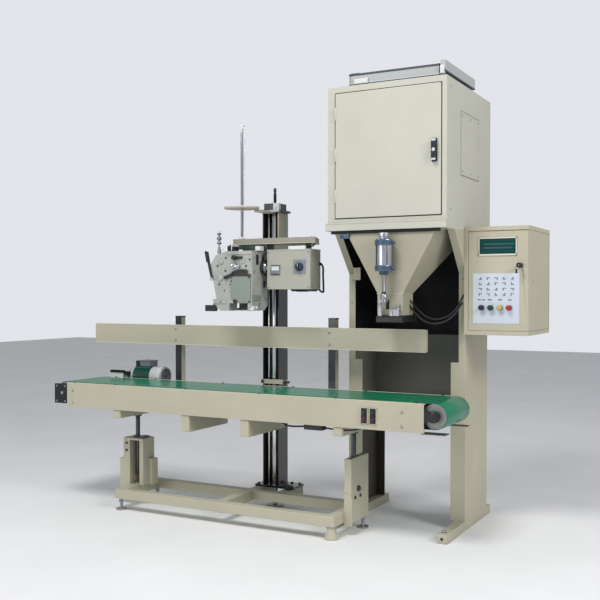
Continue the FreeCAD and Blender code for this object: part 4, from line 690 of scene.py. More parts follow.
def control_details():
    """Display, keypad, button bezels, key switch and lock on the folded door, and its box."""
    face = -58
    bezel = Piece().window((1158, 1345), (face - 3, face), (1349, 1437), 6, 8, 7)
    bezel.finish("display_bezel", "control_door", "edge_beige", 1.2)
    boxes("display_glass", "control_door", "screen", 0.3,
        ((1163, 1340), (face - 2, face - 0.1), (1356, 1431)))
    bars = Piece()
    for z, start, end in ((1404, 1186, 1330), (1386, 1186, 1322)):
        bars.block((start, end), (face - 2.25, face - 2), (z - 4, z + 4))
    bars.finish("display_lines", "control_door", "display_ink", 0)
    boxes("keypad_film", "control_door", "keypad", 0.4,
        ((1132, 1357), (face - 1.2, face - 0.05), (1024, 1264)))
    keys, marks = Piece(), Piece()
    columns = [1169 + 38.75 * k for k in range(5)]
    for row, z in enumerate((1240, 1215, 1189, 1164)):
        for column, x in enumerate(columns):
            keys.block((x - 15, x + 15), (face - 2.0, face - 1.1), (z - 10, z + 10))
            variety = (row * 5 + column * 3) % 4
            reach = 3.3 + 0.55 * variety
            for part, (dx, dz) in enumerate(((-1, 1), (1, 1), (-1, -1), (1, -1))):
                if part != variety:
                    mark_x, mark_z = x + dx * reach, z + dz * 3.4
                    marks.block((mark_x - 3.3, mark_x + 3.3), (face - 2.2, face - 1.9),
                        (mark_z - 2.6, mark_z + 2.6))
    for x, half in ((1164, 7), (1185, 8), (1216, 10), (1265, 10), (1312, 9)):
        marks.block((x - half, x + half), (face - 1.35, face - 1.1), (1135, 1140))
    keys.finish("keypad_keys", "control_door", "keypad", 0.7)
    marks.finish("keypad_marks", "control_door", "ink", 0)
    rings = Piece()
    for index in range(4):
        rings.ring("y", (1176 + 44.7 * index, face, 1100), 11.6, 14.5, -1.0, -6)
    rings.finish("button_bezels", "control_door", "zinc", 0.8)
    for index, colour in enumerate(("blue", "green", "yellow", "red")):
        turned(f"button_{colour}_cap", f"button_{colour}", colour, 0, "y", (1176 + 44.7 * index, 0, 1100),
            [(12.6, -74), (13.2, -76), (12.6, -79), (9, -81), (3, -81.6)], 32)
    turned("key_switch_rose", "control_door", "dark_steel", 0.4, "y", (1363, face, 1301),
        [(13, -0.05), (13, -1.5), (11, -3.5), (9, -3.5), (8.5, -1)], 36)
    bow = Piece().ring("y", (1363, -96, 1301), 3.5, 12, -1.5, 3)
    bow.block((1352, 1374), (-95.5, -92.5), (1297, 1305))
    bow.finish("key_bow", "panel_key", "plastic", 0.8)
    tag = Piece().ring("y", (1357, -94, 1288), 7.5, 9, -0.8, 0.8)
    tag.block((1347, 1356), (-95, -92), (1262, 1282))
    tag.finish("key_tag", "panel_key", "black", 0.8)
    side = 1398
    lock = Piece().lathe("x", (side, 28, 1223), [(11, 0.1), (11, 2), (8, 3.5), (7, 2.5)], 28)
    lock.lathe("x", (side, 28, 1223), [(3, 2.6), (2.6, 5)], 12)
    lock.finish("door_lock_barrel", "control_door", "zinc", 0.4)
    seal = Piece()
    for z in (988, 1469):
        seal.block((1110, 1400), (-56, -54), (z - 1.0, z + 1.0))
        seal.block((1394, 1396), (-54, 352), (z - 1.0, z + 1.0))
    seal.block((1107.6, 1109.2), (-57, -54), (989, 1468))
    seal.finish("control_door_seal", "stand", "rubber", 0)
    back = limits("control_box")[1].y
    boxes("control_rear_cover", "stand", "beige", 0.8, ((1110, 1390), (back, back + 1.6), (990, 1467)))
    screws = Piece().pan_screws("y", grid((1122, 1378), (back + 1.6,), (1002, 1228, 1455)), 4)
    screws.finish("control_rear_screws", "stand", "zinc", 0)
    glands = Piece()
    for x in (1150, 1200):
        glands.lathe("y", (x, back + 1.6, 1030), [(13, 0), (13, 6), (10, 7), (10, 18), (7, 21)], 6)
    glands.finish("control_cable_glands", "stand", "plastic", 0.5)
    for number, x in enumerate((1150, 1200)):
        cable(f"control_cable_{number + 1}", "stand", "rubber",
            [(x, 386, 1030), (x - 6, 396, 1026), (x - 30, 400, 1010),
            (1104 + 4 * number, 384, 1004 - 12 * number), (1089, 352, 1004 - 12 * number)], 4.6)


# ------------------------------------------------------------------- conveyor

def deck_details():
    """Bolts, bearing covers, shaft ends, drum ends, soles, cables and the chain guard of the conveyor."""
    front, rear = -494, -114
    bolts = Piece()
    for y, sign in ((front, -1), (rear, 1)):
        bolts.pan_screws("y", grid((-1008, 940), (y,), (565, 630)), 5.5, sign)
    bolts.finish("rail_bolts", "deck", "zinc", 0)
    black = Piece()
    for x in (-1008, -720, -260, 180, 600, 1004):
        for y in (front + 13, rear - 13):
            black.lathe("z", (x, y, 673), [(6, 0), (6, 4.5), (4, 5.5)], 6)
    black.finish("rail_top_bolts", "deck", "black", 0.3)
    # Painted highlight: pale strips along the rails' top edges.
    strips = Piece()
    for y in (front + 1.5, rear - 1.5):
        strips.block((-1049, 1041), (y - 1.6, y + 1.6), (672.6, 674.4))
    strips.finish("rail_top_edge_highlights", "deck", "edge_beige", 0.6)
    tail, washer = Piece(), Piece()
    for y, sign in ((front + 1, -1), (rear - 1, 1)):
        tail.hexagon_bolts("y", grid((-1128, -1068), (y,), (652, 568)), 5, sign)
        washer.lathe("y", (-1085, y, 616),
            [(22, 0), (22, sign * 3), (16, sign * 5), (9, sign * 5)][::sign], 36)
    tail.finish("tail_block_bolts", "deck", "zinc", 0.3)
    washer.finish("tail_bearing_covers", "deck", "black", 0.4)
    head = Piece()
    for y, sign in ((front + 1, -1), (rear - 1, 1)):
        head.lathe("y", (1085, y, 616),
            [(25, 0), (25, sign * 2), (21, sign * 5), (14, sign * 6)][::sign], 40)
    head.finish("head_bearing_covers", "deck", "black", 0.4)
    for name, x in (("head", 1085), ("tail", -1085)):
        centre = Piece()
        for y, sign in ((-492, -1), (-116, 1)):
            if name == "tail" and sign == 1:
                continue
            centre.lathe("y", (x, y, 616),
                [(10.5, 0), (10.5, sign * 3.5), (8, sign * 6), (3, sign * 6.2)][::sign], 28)
        centre.finish(f"{name}_shaft_end", f"{name}_roller", "chrome", 0.3)
    disc = Piece()
    for y, sign in ((-462, -1), (-146, 1)):
        disc.ring("y", (1085, y, 616), 16, 56.4, sign * 0.3, sign * 2.5)
        disc.ring("y", (1085, y, 616), 50, 56.4, sign * 2.4, sign * 5)
    disc.finish("head_drum_end", "head_roller", "drum_end", 0.5)
    for side, (y0, y1) in (("front", (-490, -434)), ("rear", (-174, -118))):
        boxes(f"head_sole_{side}", "deck", "zinc", 0.5, ((1026, 1139), (y0, y1), (535.4, 537.8)))
    screws = Piece()
    for seat in grid((0,), (front + 13, rear - 13), (600, 636)):
        screws.lathe("x", seat, [(5, -1146), (5, -1143)], 6)
    screws.finish("take_up_screws", "deck", "zinc", 0.3)
    boxes("junction_box", "deck", "plastic", 1.5, ((433, 531), (-486, -440), (516, 540.8)))
    cable("station_cable", "deck", "rubber",
        [(531, -463, 528), (600, -463, 524), (690, -470, 530), (760, -478, 552)], 4)
    cable("motor_feed_cable", "deck", "rubber",
        [(433, -463, 528), (330, -430, 518), (200, -300, 512), (0, -210, 508), (-300, -160, 508),
        (-600, -130, 520), (-760, -106, 560), (-812, -92, 604)], 4.5)
    ends = Piece()
    for x, bottom in ((-706, 499), (-257, 457), (101, 457), (614, 499)):
        for y in (-487, -121):
            ends.block((x - 23, x + 23), (y - 2, y + 2), (bottom, 539))
    ends.finish("cross_member_caps", "deck", "beige", 0.6)
    collars = Piece()
    for x in (-706, 614):
        collars.lathe("z", (x, -306, 0), [(13, 486), (16, 486), (22, 489), (22, 497)], 32)
    collars.finish("lift_rod_collars", "deck", "dark_steel", 0.5)
    guard = Piece().extrude_outline("y",
        [(-1062, 648), (-1000, 648), (-962, 662), (-962, 693), (-1062, 693)], -119, -114.2)
    guard.extrude_outline("y", [(-1122, 586), (-1135, 616), (-1118, 652), (-1062, 694), (-962, 694),
        (-924, 676), (-914, 650), (-930, 626), (-1000, 608), (-1060, 588)], -99.5, -97.5)
    guard.block((-1062, -962), (-119, -97.5), (693, 695))
    guard.finish("chain_guard", "deck", "white", 0.8)
    ribs = Piece().block((-1062, -964), (-119, -97.5), (700.5, 704))
    for k in range(9):
        x = -1058 + k * 11
        ribs.block((x, x + 5), (-119, -97.5), (704, 716))
    ribs.finish("chain_guard_ribs", "deck", "black", 0.6)


def motor_details():
    """Fins, end bell, cowl, grille, terminal box and screws of the drive motor, and gearbox ribs."""
    x0, x1, y, z, cowl = -925, -712, -42, 684, -788
    fins = Piece()
    for k in range(36):
        under_box, over_feet = 62 < 10 * k < 118, 222 < 10 * k < 318
        if not (under_box or over_feet):
            fins.spoke(y, z, 10 * k, 52.6, 58.5, 0.9, x0 + 16, cowl - 3)
    fins.finish("motor_fins", "deck", "green_enamel", 0)
    turned("motor_end_bell", "deck", "silver_paint", 0.6, "x", (0, y, z),
        [(44, x0 - 1), (55, x0 + 1), (58, x0 + 5), (58, x0 + 12), (55.5, x0 + 14)], 56)
    shell = Piece().lathe("x", (0, y, z),
        [(56.6, cowl - 2), (58, cowl), (58, x1 - 12), (56.4, x1 - 3), (52, x1 + 1.5), (44, x1 + 1.5)], 64)
    for x in (cowl + 2, cowl + 26):
        shell.ring("x", (x, y, z), 57, 59.2, 0, 2.5)
    shell.finish("motor_fan_cowl", "deck", "silver_paint", 0.6)
    grille = Piece()
    for radius in range(10, 46, 7):
        grille.ring("x", (x1 + 1.2, y, z), radius, radius + 3.2, 0, 3.2)
    for k in range(6):
        grille.spoke(y, z, 60 * k, 8, 46, 2, x1 + 1.6, x1 + 4)
    grille.finish("motor_fan_grille", "deck", "grille", 0)
    turned("motor_grille_shadow", "deck", "painted_shade_black", 0, "x", (x1 + 1.4, y, z), [(45, 0), (45, 0.8)], 48)
    boxes("terminal_box_gland_side", "deck", "plastic", 2,
        ((x0 + 26, x0 + 58), (y - 37, y + 37), (z + 56, z + 89)))
    boxes("terminal_box_lid", "deck", "grille", 2,
        ((x0 + 58, x0 + 130), (y - 37, y + 37), (z + 58, z + 89)),
        ((x0 + 56, x0 + 132), (y - 39, y + 39), (z + 86, z + 91)))
    screws = Piece().pan_screws("z", grid((x0 + 64, x0 + 124), (y - 31, y + 31), (z + 91,)), 3.5)
    screws.hexagon_bolts("x", [(x0 - 0.5, *polar(y, z, 48, 45 + 90 * k)) for k in range(4)], 6, -1)
    screws.hexagon_bolts("z", grid((x0 + 52, cowl - 32), (y - 38, y + 38), (z - 20,)), 7)
    screws.finish("motor_screws", "deck", "zinc", 0)
    gear = Piece()
    for x in (-990, -930):
        gear.block((x - 3, x + 3), (y - 43.5, y + 43.5), (621, 708))
    for k in range(5):
        gear.block((-984 + k * 12, -980 + k * 12), (y - 43, y + 43), (706, 711))
    gear.lathe("y", (-960, -84, 657), [(30, -3), (30, 0.2)], 36)
    gear.finish("gearbox_ribs", "deck", "silver_paint", 0.8)
    chain_links()


def chain_links():
    """Side plates of the roller chain all along its loop."""
    plates = Piece()
    start, end = Vector((-1085, 616)), Vector((-960, 657))
    radius, pitch = 35.6, 12.7
    along = (end - start).normalized()
    across = Vector((-along.y, along.x))
    spots = []
    steps = int((end - start).length // pitch)
    for k in range(steps):
        offset = along * ((k + 0.5) * pitch)
        for side in (1, -1):
            spots.append((start + offset + across * radius * side, math.atan2(along.y, along.x)))
    turns = int(math.pi * radius // pitch)
    for centre, begin in ((start, 90), (end, -90)):
        for k in range(turns):
            angle = math.atan2(along.y, along.x) + math.radians(begin + 180 * (k + 0.5) / turns)
            spots.append((centre + radius * Vector((math.cos(angle), math.sin(angle))),
                angle + math.pi / 2))
    for spot, angle in spots:
        c, s = math.cos(angle), math.sin(angle)
        outline = [(spot.x + a * c - b * s, spot.y + a * s + b * c)
            for a, b in ((-4.8, -3.4), (4.8, -3.4), (6, 0), (4.8, 3.4), (-4.8, 3.4), (-6, 0))]
        for near, far in ((-109.6, -108.2), (-101.8, -99.0)):
            plates.extrude_outline("y", outline, near, far)
    plates.finish("chain_side_plates", "deck", "dark_steel", 0)


def station_details():
    """Frames and bezels of the start and stop stations, and caps of their buttons."""
    face = -501
    frames, bezels = Piece(), Piece()
    for left in (739, 783):
        frames.window((left - 4, left + 33), (-498, -494), (565, 643), 4, 4, 4)
        for z in (588, 620):
            bezels.ring("y", (left + 14.5, face, z), 9.6, 12.5, 0.2, -2.5)
    frames.finish("station_frames", "deck", "edge_beige", 0.6)
    bezels.finish("station_bezels", "deck", "plastic", 0.4)
    for name in ("conveyor_start", "conveyor_stop", "sewing_start", "sewing_stop"):
        centre = middle(f"{name}_button")
        turned(f"{name}_cap", f"{name}_button", "dark_green" if "start" in name else "dark_red", 0, "y",
            (centre.x, 0, centre.z), [(8.6, -504.5), (8.6, -507), (6, -508.4), (2, -508.6)], 28)


def guide_details():
    """Black facings, caps and bolts of the guide posts, and the bag guide's hems and ends."""
    pads, bolts = Piece(), Piece()
    for x in (-566, 401):
        for z in ((676, 879), (992, 1034)):
            pads.block((x - 20.2, x + 20.2), (-115.6, -113.9), z)
        pads.block((x - 21, x + 21), (-115.6, -73), (1034, 1041))
        bolts.pan_screws("y", ((x, -142, 905), (x, -142, 966)), 6, -1)
        bolts.hexagon_bolts("y", ((x, -74, 566), (x, -74, 646)), 10)
    pads.finish("post_facings", "deck", "gloss_black", 0.6)
    bolts.finish("guide_bolts", "deck", "zinc", 0.3)
    hem = Piece()
    for z in (881, 990):
        hem.block((-1147, 922), (-143.2, -141.8), (z - 1.6, z + 1.6))
    hem.finish("guide_rail_hems", "deck", "edge_beige", 0.5)
    ends = Piece()
    for x in (-1146.5, 921.5):
        ends.block((x - 1.4, x + 1.4), (-141.8, -116.2), (882.4, 988.6))
    ends.finish("guide_rail_ends", "deck", "beige", 0.3)


# --------------------------------------------------------------- floor frame

def base_details():
    """Caps, foot nuts, welds, flared foot cover, rod stop and the lift sleeves' lids and screws."""
    caps = Piece()
    for x in (-63, 114):
        caps.block((x - 24, x + 24), (59, 63), (63, 111))
    caps.finish("outrigger_caps", "stand", "plastic", 1)
    nuts = Piece()
    for x, y in ((-694, -466), (-694, -147)):
        nuts.lathe("z", (x, y, 52), [(14, 0), (14, 9), (12, 10)], 6)
        nuts.lathe("z", (x, y, 40), [(14, 0), (14, 8), (12, 9)], 6)
    nuts.finish("foot_nuts", "stand", "zinc", 0.4)
    welds = Piece()
    for seat in grid((-669, 546), (-441, -172), (62, 112)):
        welds.lathe("x", seat, [(1, -1), (2.2, 0), (2.2, 8), (1, 9)], 10)
    welds.finish("frame_welds", "stand", "beige", 0)
    turned("flared_foot_cover", "stand", "beige", 0.5, "z", (571, -466, 0),
        [(34, 0.2), (35, 2), (34.4, 5), (17.2, 58), (20, 60), (20, 61.8)], 48)
    lids = Piece()
    for x, reach in ((-706, 22), (614, 16.5)):
        lids.ring("z", (x, -306, 370), 13, reach, 0.1, 7)
    for x, y in ((-752, -342), (-752, -270), (-648, -342), (-648, -270), (614, -350),
            (614, -262), (614, -200)):
        lids.lathe("z", (x, y, 370), [(5, 0), (5, 3.5), (3, 4)], 6)
    lids.block((-666, -634), (-354, -300), (370.1, 384))
    lids.finish("sleeve_lids", "stand", "dark_steel", 0.6)
    clamps = Piece().hexagon_bolts("y", ((-746, -356, 340), (-746, -356, 300)), 7, -1)
    for y, z, size in ((-292, 216, 14), (-270, 178, 8), (-330, 178, 8)):
        clamps.hexagon_bolt("x", (632, y, z), size)
    clamps.finish("sleeve_clamp_screws", "stand", "dark_steel", 0.4)
    Piece().ring("z", (-706, -306, 112), 13, 18, 0.1, 8).finish("lift_rod_stop", "stand", "zinc", 0.4)


# ------------------------------------------------------------- sewing column

def column_details():
    """Painted shade inside the channel, top cover, flange bolts, screw thread, cable and the brace to the
    deck.
    """
    # Painted shade: black sheets inside the column channel.
    painted_shade_black = Piece().block((-43.8, 43.8), (42.4, 43.8), (126, 1604))
    for x in (-43.8, 42.4):
        painted_shade_black.block((x, x + 1.4), (-49, 43), (126, 1604))
    painted_shade_black.finish("column_channel_painted_shade", "stand", "painted_shade_black", 0)
    boxes("column_top_cover", "stand", "beige", 0.6, ((50, 51.6), (-50, 50), (1392, 1605)),
        ((44, 51.6), (-52, -50), (1392, 1605)), ((-51.6, -50), (-50, 50), (1392, 1605)),
        ((-51.6, 51.6), (50, 51.6), (1392, 1605)))
    boxes("column_scale_plate", "stand", "zinc", 0.4, ((51.6, 53), (14, 48), (1470, 1604)))
    bolts = Piece().hexagon_bolts("z", grid((-80, 80, 128), (-44, 44), (124,)), 9)
    bolts.finish("flange_bolts", "stand", "dark_steel", 0.4)
    knob = Piece().lathe("y", (121, -62, 123), [(16, 0.4), (18, -3), (18, -16), (14, -20), (6, -21)], 28)
    knob.block((103, 139), (-62, -40), (108, 121))
    knob.finish("flange_clamp_knob", "stand", "plastic", 1)
    cap = Piece().block((-60.5, 60.5), (-63.4, -62), (1607, 1618))
    cap.lathe("z", (-14, 22, 1656), [(15, 0.2), (15, 8), (12, 9), (9, 9)], 32)
    cap.finish("cap_collar", "stand", "pale", 0.6)
    block = Piece().block((24, 60), (-67, -44), (1612, 1654)).lathe("y", (42, -67, 1634),
        [(8, 0), (8, -3), (6, -4)], 24)
    block.finish("cap_clamp_block", "stand", "pale", 1.5)
    thread = Piece()
    for k in range(26):
        thread.lathe("z", (-14, 22, 1667 + k * 1.8), [(7.9, 0), (8.7, 0.45), (8.7, 0.9), (7.9, 1.35)], 20)
    thread.finish("screw_thread", "lead_screw", "dark_steel", 0)
    turned("screw_crank_end", "lead_screw", "dark_steel", 0.6, "z", (-14, 22, 1745),
        [(9, -22), (9, -2), (7, 0.5)], 6)
    boxes("column_brace", "stand", "edge_beige", 1, ((-56, 108), (-63, -55), (678, 702)))
    tips = Piece().hexagon_bolt("y", (94, -63, 690), 12, -1).hexagon_bolt("y", (-44, -63, 690), 9, -1)
    tips.lathe("x", (0, -59, 690), [(7, 108), (7, 118), (5, 120)], 20)
    tips.finish("column_brace_bolts", "stand", "dark_steel", 0.4)
    boxes("column_cable_clips", "stand", "plastic", 0.5,
        *[((-52.5, -50), (10, 34), (z, z + 8)) for z in (260, 420, 800, 1120)])
    cable("column_cable", "stand", "rubber",
        [(-53, 22, 140), (-53, 22, 420), (-53, 22, 800), (-53, 22, 1180)], 4)


# ----------------------------------------------------------------- sewing head

def head_details():
    """Screws, tension discs, levers, guides and covers of the sewing head."""
    face, side = -390, 85
    boss = Piece().lathe("y", (31, face, 1336), [(17, 0), (17, -3), (15, -4), (13, -4), (12.5, -3)], 36)
    boss.lathe("y", (-104, face, 1250), [(19, 0), (19, -3), (16, -5)], 36)
    boss.lathe("y", (-98, face, 1330), [(12, 0), (12, -4), (10, -5)], 32)
    boss.extrude_outline("z", [(side, -392), (side + 2.2, -390), (side + 2.2, -300),
        (side, -298)], 1160, 1378)
    boss.block((-60, 84), (face - 2.5, face), (1366, 1384))
    boss.block((-128, -64), (face - 3, face), (1116, 1134))
    boss.finish("head_bosses", "sewing_unit", "cast", 1.4)
    screws = Piece()
    for x, z in ((-73, 1284), (-63, 1254), (-79, 1183), (-34, 1231), (-42, 1214), (72, 1250), (72, 1126),
            (-32, 1250), (2, 1126), (-110, 1216), (-120, 1310), (-70, 1350), (74, 1340),
            (-100, 1125), (52, 1308)):
        depth = -395 if -40 < x < 79 and 1120 < z < 1257 else face
        screws.pan_screw("y", (x, depth, z), 5.2 if (x + z) % 3 else 3.8, -1)
    screws.finish("head_screws", "sewing_unit", "dark_steel", 0)
    discs = Piece()
    for x, z in ((-18, 1312), (6, 1306)):
        for k in range(4):
            discs.lathe("y", (x, face - 2 - 4 * k, z),
                [(4, 0), (12 - k, -0.8), (12 - k, -1.8), (4, -3)], 28)
        discs.lathe("y", (x, face, z), [(2.5, 0), (2.5, -22), (5.5, -22), (5.5, -29), (4, -31)], 20)
    discs.finish("thread_tension_discs", "sewing_unit", "chrome", 0)
    knob = Piece().lathe("y", (-14, face, 1350), [(5, 0), (5, -8), (12, -9), (12, -20), (9, -22)], 20)
    knob.block((-14, 32), (face - 8, face - 3), (1344, 1356))
    knob.lathe("y", (26, face, 1350), [(7, -2), (7, -12), (5, -13)], 6)
    knob.finish("take_up_lever", "sewing_unit", "black", 0.8)
    leaf = Piece().extrude_outline("y",
        [(-42, 1262), (-26, 1280), (20, 1291), (54, 1290), (66, 1281), (56, 1270), (84, 1262), (80, 1257),
        (-20, 1257)], face - 9, face - 4)
    leaf.extrude_outline("y", [(-76, 1240), (-44, 1250), (-22, 1264), (-28, 1270), (-60, 1262),
        (-78, 1250)], face - 8, face - 3)
    leaf.lathe("y", (-30, face, 1266), [(7, 0), (7, -13), (5, -14)], 24)
    leaf.lathe("y", (-68, face, 1250), [(9, 0), (9, -11), (6, -12)], 24)
    leaf.finish("looper_take_up", "sewing_unit", "black", 0.6)
    slots = Piece()
    for (y0, y1, z0, z1) in ((-352, -326, 1314, 1366), (-287, -271, 1317, 1358), (-276, -258, 1198, 1232),
            (-374, -366, 1270, 1284), (-302, -288, 1278, 1292)):
        slots.block((side - 0.5, side + 2.6), (y0, y1), (z0, z1))
    slots.finish("head_side_slots", "sewing_unit", "black", 0.8)
    side_screws = Piece()
    for spot in ((-372, 1350), (-372, 1180), (-250, 1372), (-250, 1140), (-300, 1150), (-318, 1248),
            (-340, 1140)):
        side_screws.pan_screw("x", (side, *spot), 5)
    side_screws.finish("head_side_screws", "sewing_unit", "zinc", 0)
    plate = Piece().extrude_outline("x",
        [(-386, 1126), (-296, 1126), (-296, 1186), (-340, 1254), (-386, 1254)], side - 0.2, side + 2)
    plate.finish("head_side_cover", "sewing_unit", "cover", 0.8)
    lip = Piece().block((70, 92), (-388, -372), (1082, 1104))
    lip.lathe("x", (0, -356, 1096), [(7, 85), (7, 97), (5, 98)], 20)
    lip.finish("head_lower_lug", "sewing_unit", "white", 1.5)
    boxes("bag_guide_front", "sewing_unit", "black", 1, ((-196, -128), (-394, -386), (1076, 1108)),
        ((-196, -166), (-386, -322), (1078, 1086)), ((-190, -166), (-330, -322), (1078, 1112)))
    lugs = Piece().block((-150, -128), (-388, -340), (1108, 1140))
    lugs.lathe("y", (-139, -388, 1122), [(8, 0), (8, -5), (6, -6)], 20)
    lugs.finish("bag_guide_lug", "sewing_unit", "cast", 1.5)
    turned("tension_post", "sewing_unit", "zinc", 0, "z", (-114, -384, 1372),
        [(10, 0), (10, 16), (7, 20), (7, 34), (4, 36), (4, 48), (9, 50), (11, 56), (9, 62), (5, 64),
        (5, 68), (10, 70), (12, 78), (12, 84), (9, 88), (5, 90), (4, 94), (8, 98), (8, 106), (5, 110),
        (3, 118)], 24)
    collar = Piece()
    for z in (1424, 1446, 1472):
        collar.lathe("z", (-114, -384, z), [(9, 0), (12.5, 1), (12.5, 4), (9, 5)], 24)
    collar.finish("tension_post_discs", "sewing_unit", "black", 0)
    clamp = Piece().block((-62, -44), (-388, -350), (1384, 1412))
    clamp.block((-36, -16), (-388, -350), (1384, 1408))
    clamp.lathe("z", (-53, -372, 1412), [(6, 0), (6, 5), (4, 6)], 6)
    clamp.lathe("y", (-53, -388, 1398), [(6, 0), (6, -6), (4, -7)], 20)
    clamp.lathe("y", (-26, -388, 1396), [(6, 0), (6, -6), (4, -7)], 20)
    clamp.finish("head_top_clamps", "sewing_unit", "black", 0.8)
    boxes("head_top_rib", "sewing_unit", "white", 1, ((-40, -34), (-388, -320), (1384, 1417)))
    boxes("terminal_covers", "sewing_unit", "white", 1.5, ((78, 104), (-345, -301), (1386, 1409)),
        ((245, 343), (-300, -270), (1390, 1408)))
    turned("cover_knob", "sewing_unit", "black", 0.5, "y", (-12, -395, 1128),
        [(10, 5), (10, -5), (7, -7)], 24)
    turned("presser_lever_hub", "presser_lever", "chrome", 0.5, "y", (-152, face, 1242),
        [(9, -6.1), (9, -11), (6, -13)], 24)
    grip = Piece().extrude_outline("y",
        [(-172, 1330), (-178, 1386), (-197, 1388), (-186, 1330)], -398, -395.9)
    grip.finish("presser_lever_grip", "presser_lever", "rubber", 0.8)
    cable("thread_hook", "sewing_unit", "chrome",
        [(-60, -389, 1376), (-66, -400, 1388), (-78, -402, 1394), (-88, -398, 1386)], 1.3)


def arm_details():
    """Arm hem, painted shadow under the arm and screws, switch box dressing and cables, motor ribs and hand
    wheel.
    """
    arm = Piece().block((-86, 403), (-303, -299.8), (1421, 1425))
    arm.extrude_outline("z", [(399.5, -303), (403, -303), (328, -110), (325.2, -110)], 1421, 1425)
    arm.finish("arm_hem", "sewing_unit", "beige", 0.6)
    # Painted shadow: dark green strips under the arm's front edge.
    boxes("arm_shadow_liner", "sewing_unit", "arm_painted_shadow_green", 0.4,
        ((-80, 322), (-297, -203), (1418.5, 1421)), ((-60, 120), (-296, -292), (1396, 1420)))
    top_screws = Piece().pan_screws("z", grid((-40, 60, 180, 280, 366), (-276,), (1451,)), 5)
    top_screws.hexagon_bolts("z", grid((-20, 20), (-130,), (1451,)), 9)
    top_screws.finish("arm_screws", "sewing_unit", "zinc", 0)
    box_face = -300
    plate = Piece().block((275, 347), (box_face - 1.8, box_face - 0.05), (1266, 1338))
    plate.ring("y", (311, box_face, 1302), 21, 27, -1.6, -3)
    plate.finish("rotary_plate", "sewing_unit", "rotary_grey", 0.5)
    marks = Piece()
    for k in range(5):
        cx, cz = polar(311, 1302, 31, 30 + 30 * k)
        marks.block((cx - 1.6, cx + 1.6), (box_face - 2.4, box_face - 1.7), (cz - 1.6, cz + 1.6))
    marks.finish("rotary_marks", "sewing_unit", "ink", 0)
    rim = Piece().window((145, 199), (box_face - 3, box_face - 0.05), (1262, 1312), 4.4, 3, 3)
    rim.finish("rocker_frame", "sewing_unit", "grille", 1)
    boxes("rocker_lower_half", "rocker_switch", "grille", 0.4,
        ((150.5, 193.5), (-307.2, -305.9), (1268.6, 1285)))
    turned("rotary_skirt", "rotary_switch", "blue_plastic", 0.4, "y", (311, -304, 1302),
        [(22, 0.2), (22, -3), (20, -12), (18, -13)], 40)
    boxes("rotary_pointer_line", "rotary_switch", "white", 0, ((310, 312), (-325.2, -323.9), (1304, 1320)))
    boxes("switch_box_lid", "sewing_unit", "switch", 1.2,
        ((120.8, 373.2), (-301.2, -187.8), (1383, 1391.4)))
    corner = Piece().pan_screws("y", grid((132, 362), (box_face,), (1199, 1374)), 4.2, -1)
    corner.pan_screws("x", grid((372,), (-280, -206), (1204, 1366)), 4.2)
    corner.finish("switch_box_screws", "sewing_unit", "zinc", 0)
    gland = Piece().lathe("x", (372, -196, 1318), [(9, 0), (9, 4), (6.5, 5), (6.5, 9), (5.6, 10)], 6)
    gland.lathe("x", (310, -120, 1204), [(9, 0), (9, 6), (6, 10)], 6)
    gland.finish("switch_cable_glands", "sewing_unit", "plastic", 0.5)
    cable("switch_cable", "sewing_unit", "rubber",
        [(381, -196, 1318), (388, -195, 1306), (389, -192, 1258), (387, -184, 1196), (376, -164, 1176),
        (340, -136, 1186), (318, -121, 1204)], 5)
    cable("switch_supply", "sewing_unit", "rubber",
        [(344, -285, 1398), (352, -288, 1403), (362, -270, 1404), (366, -240, 1417)], 4)
    y, z, x0, x1 = -120, 1232, 165, 310
    motor = Piece()
    for x in (177, 195, 271, 289, 305):
        motor.ring("x", (x, y, z), 51, 54, 0, 4)
    for k in range(24):
        motor.spoke(y, z, 15 * k, 51, 55, 1, x0 + 38, x1 - 43)
    motor.lathe("x", (0, y, z), [(46, x1 - 1), (44, x1 + 4), (16, x1 + 6), (15, x1 + 4.5)], 40)
    motor.finish("sewing_motor_ribs", "sewing_unit", "black", 0)
    turned("hand_wheel_face", "main_shaft", "chrome", 0, "x", (0, -280, 1300),
        [(27, 111), (26, 113.5), (12, 113.5), (12, 118), (9, 119)], 40)


def thread_details():
    """Ferrules, eyelet and side rod of the thread rod, and the tray's rim, seats and arm plate."""
    eye = Piece().lathe("z", (-60, -250, 2050), [(6.2, -40), (7.4, -38), (7.4, 0), (5, 3)], 24)
    eye.lathe("z", (-60, -250, 1451), [(15, 0.2), (15, 10), (10, 13), (8, 14)], 28)
    eye.lathe("z", (-60, -250, 1596), [(9, 0), (9, 12)], 24)
    eye.finish("thread_rod_ferrules", "sewing_unit", "white", 0.4)
    cable("thread_eyelet", "sewing_unit", "chrome",
        [(-54, -250, 2040), (-44, -252, 2044), (-38, -256, 2036), (-42, -258, 2026),
        (-52, -254, 2026)], 1.6)
    cable("thread_side_rod", "sewing_unit", "chrome",
        [(-50, -254, 1452), (-46, -256, 1600), (-44, -257, 1800), (-41, -257, 2026)], 2.2)
    Piece().ring("z", (-60, -250, 1612), 89.5, 93, 6, 10.5, 72).finish("tray_rim", "stand", "pale", 0.8)
    seat = Piece()
    for angle in (200, 320):
        seat.lathe("z", (*polar(-60, -250, 50, angle), 1614),
            [(26, 0.2), (26, 2), (6, 3), (4, 7), (3, 8)], 32)
    seat.finish("cone_seats", "stand", "plastic", 0)
    boxes("tray_arm_plate", "stand", "edge_beige", 0.6, ((-29, 16), (-178, -62), (1600, 1606)),
        ((-27, 14), (-176, -164), (1604, 1612)))


# -------------------------------------------------------------------- studio

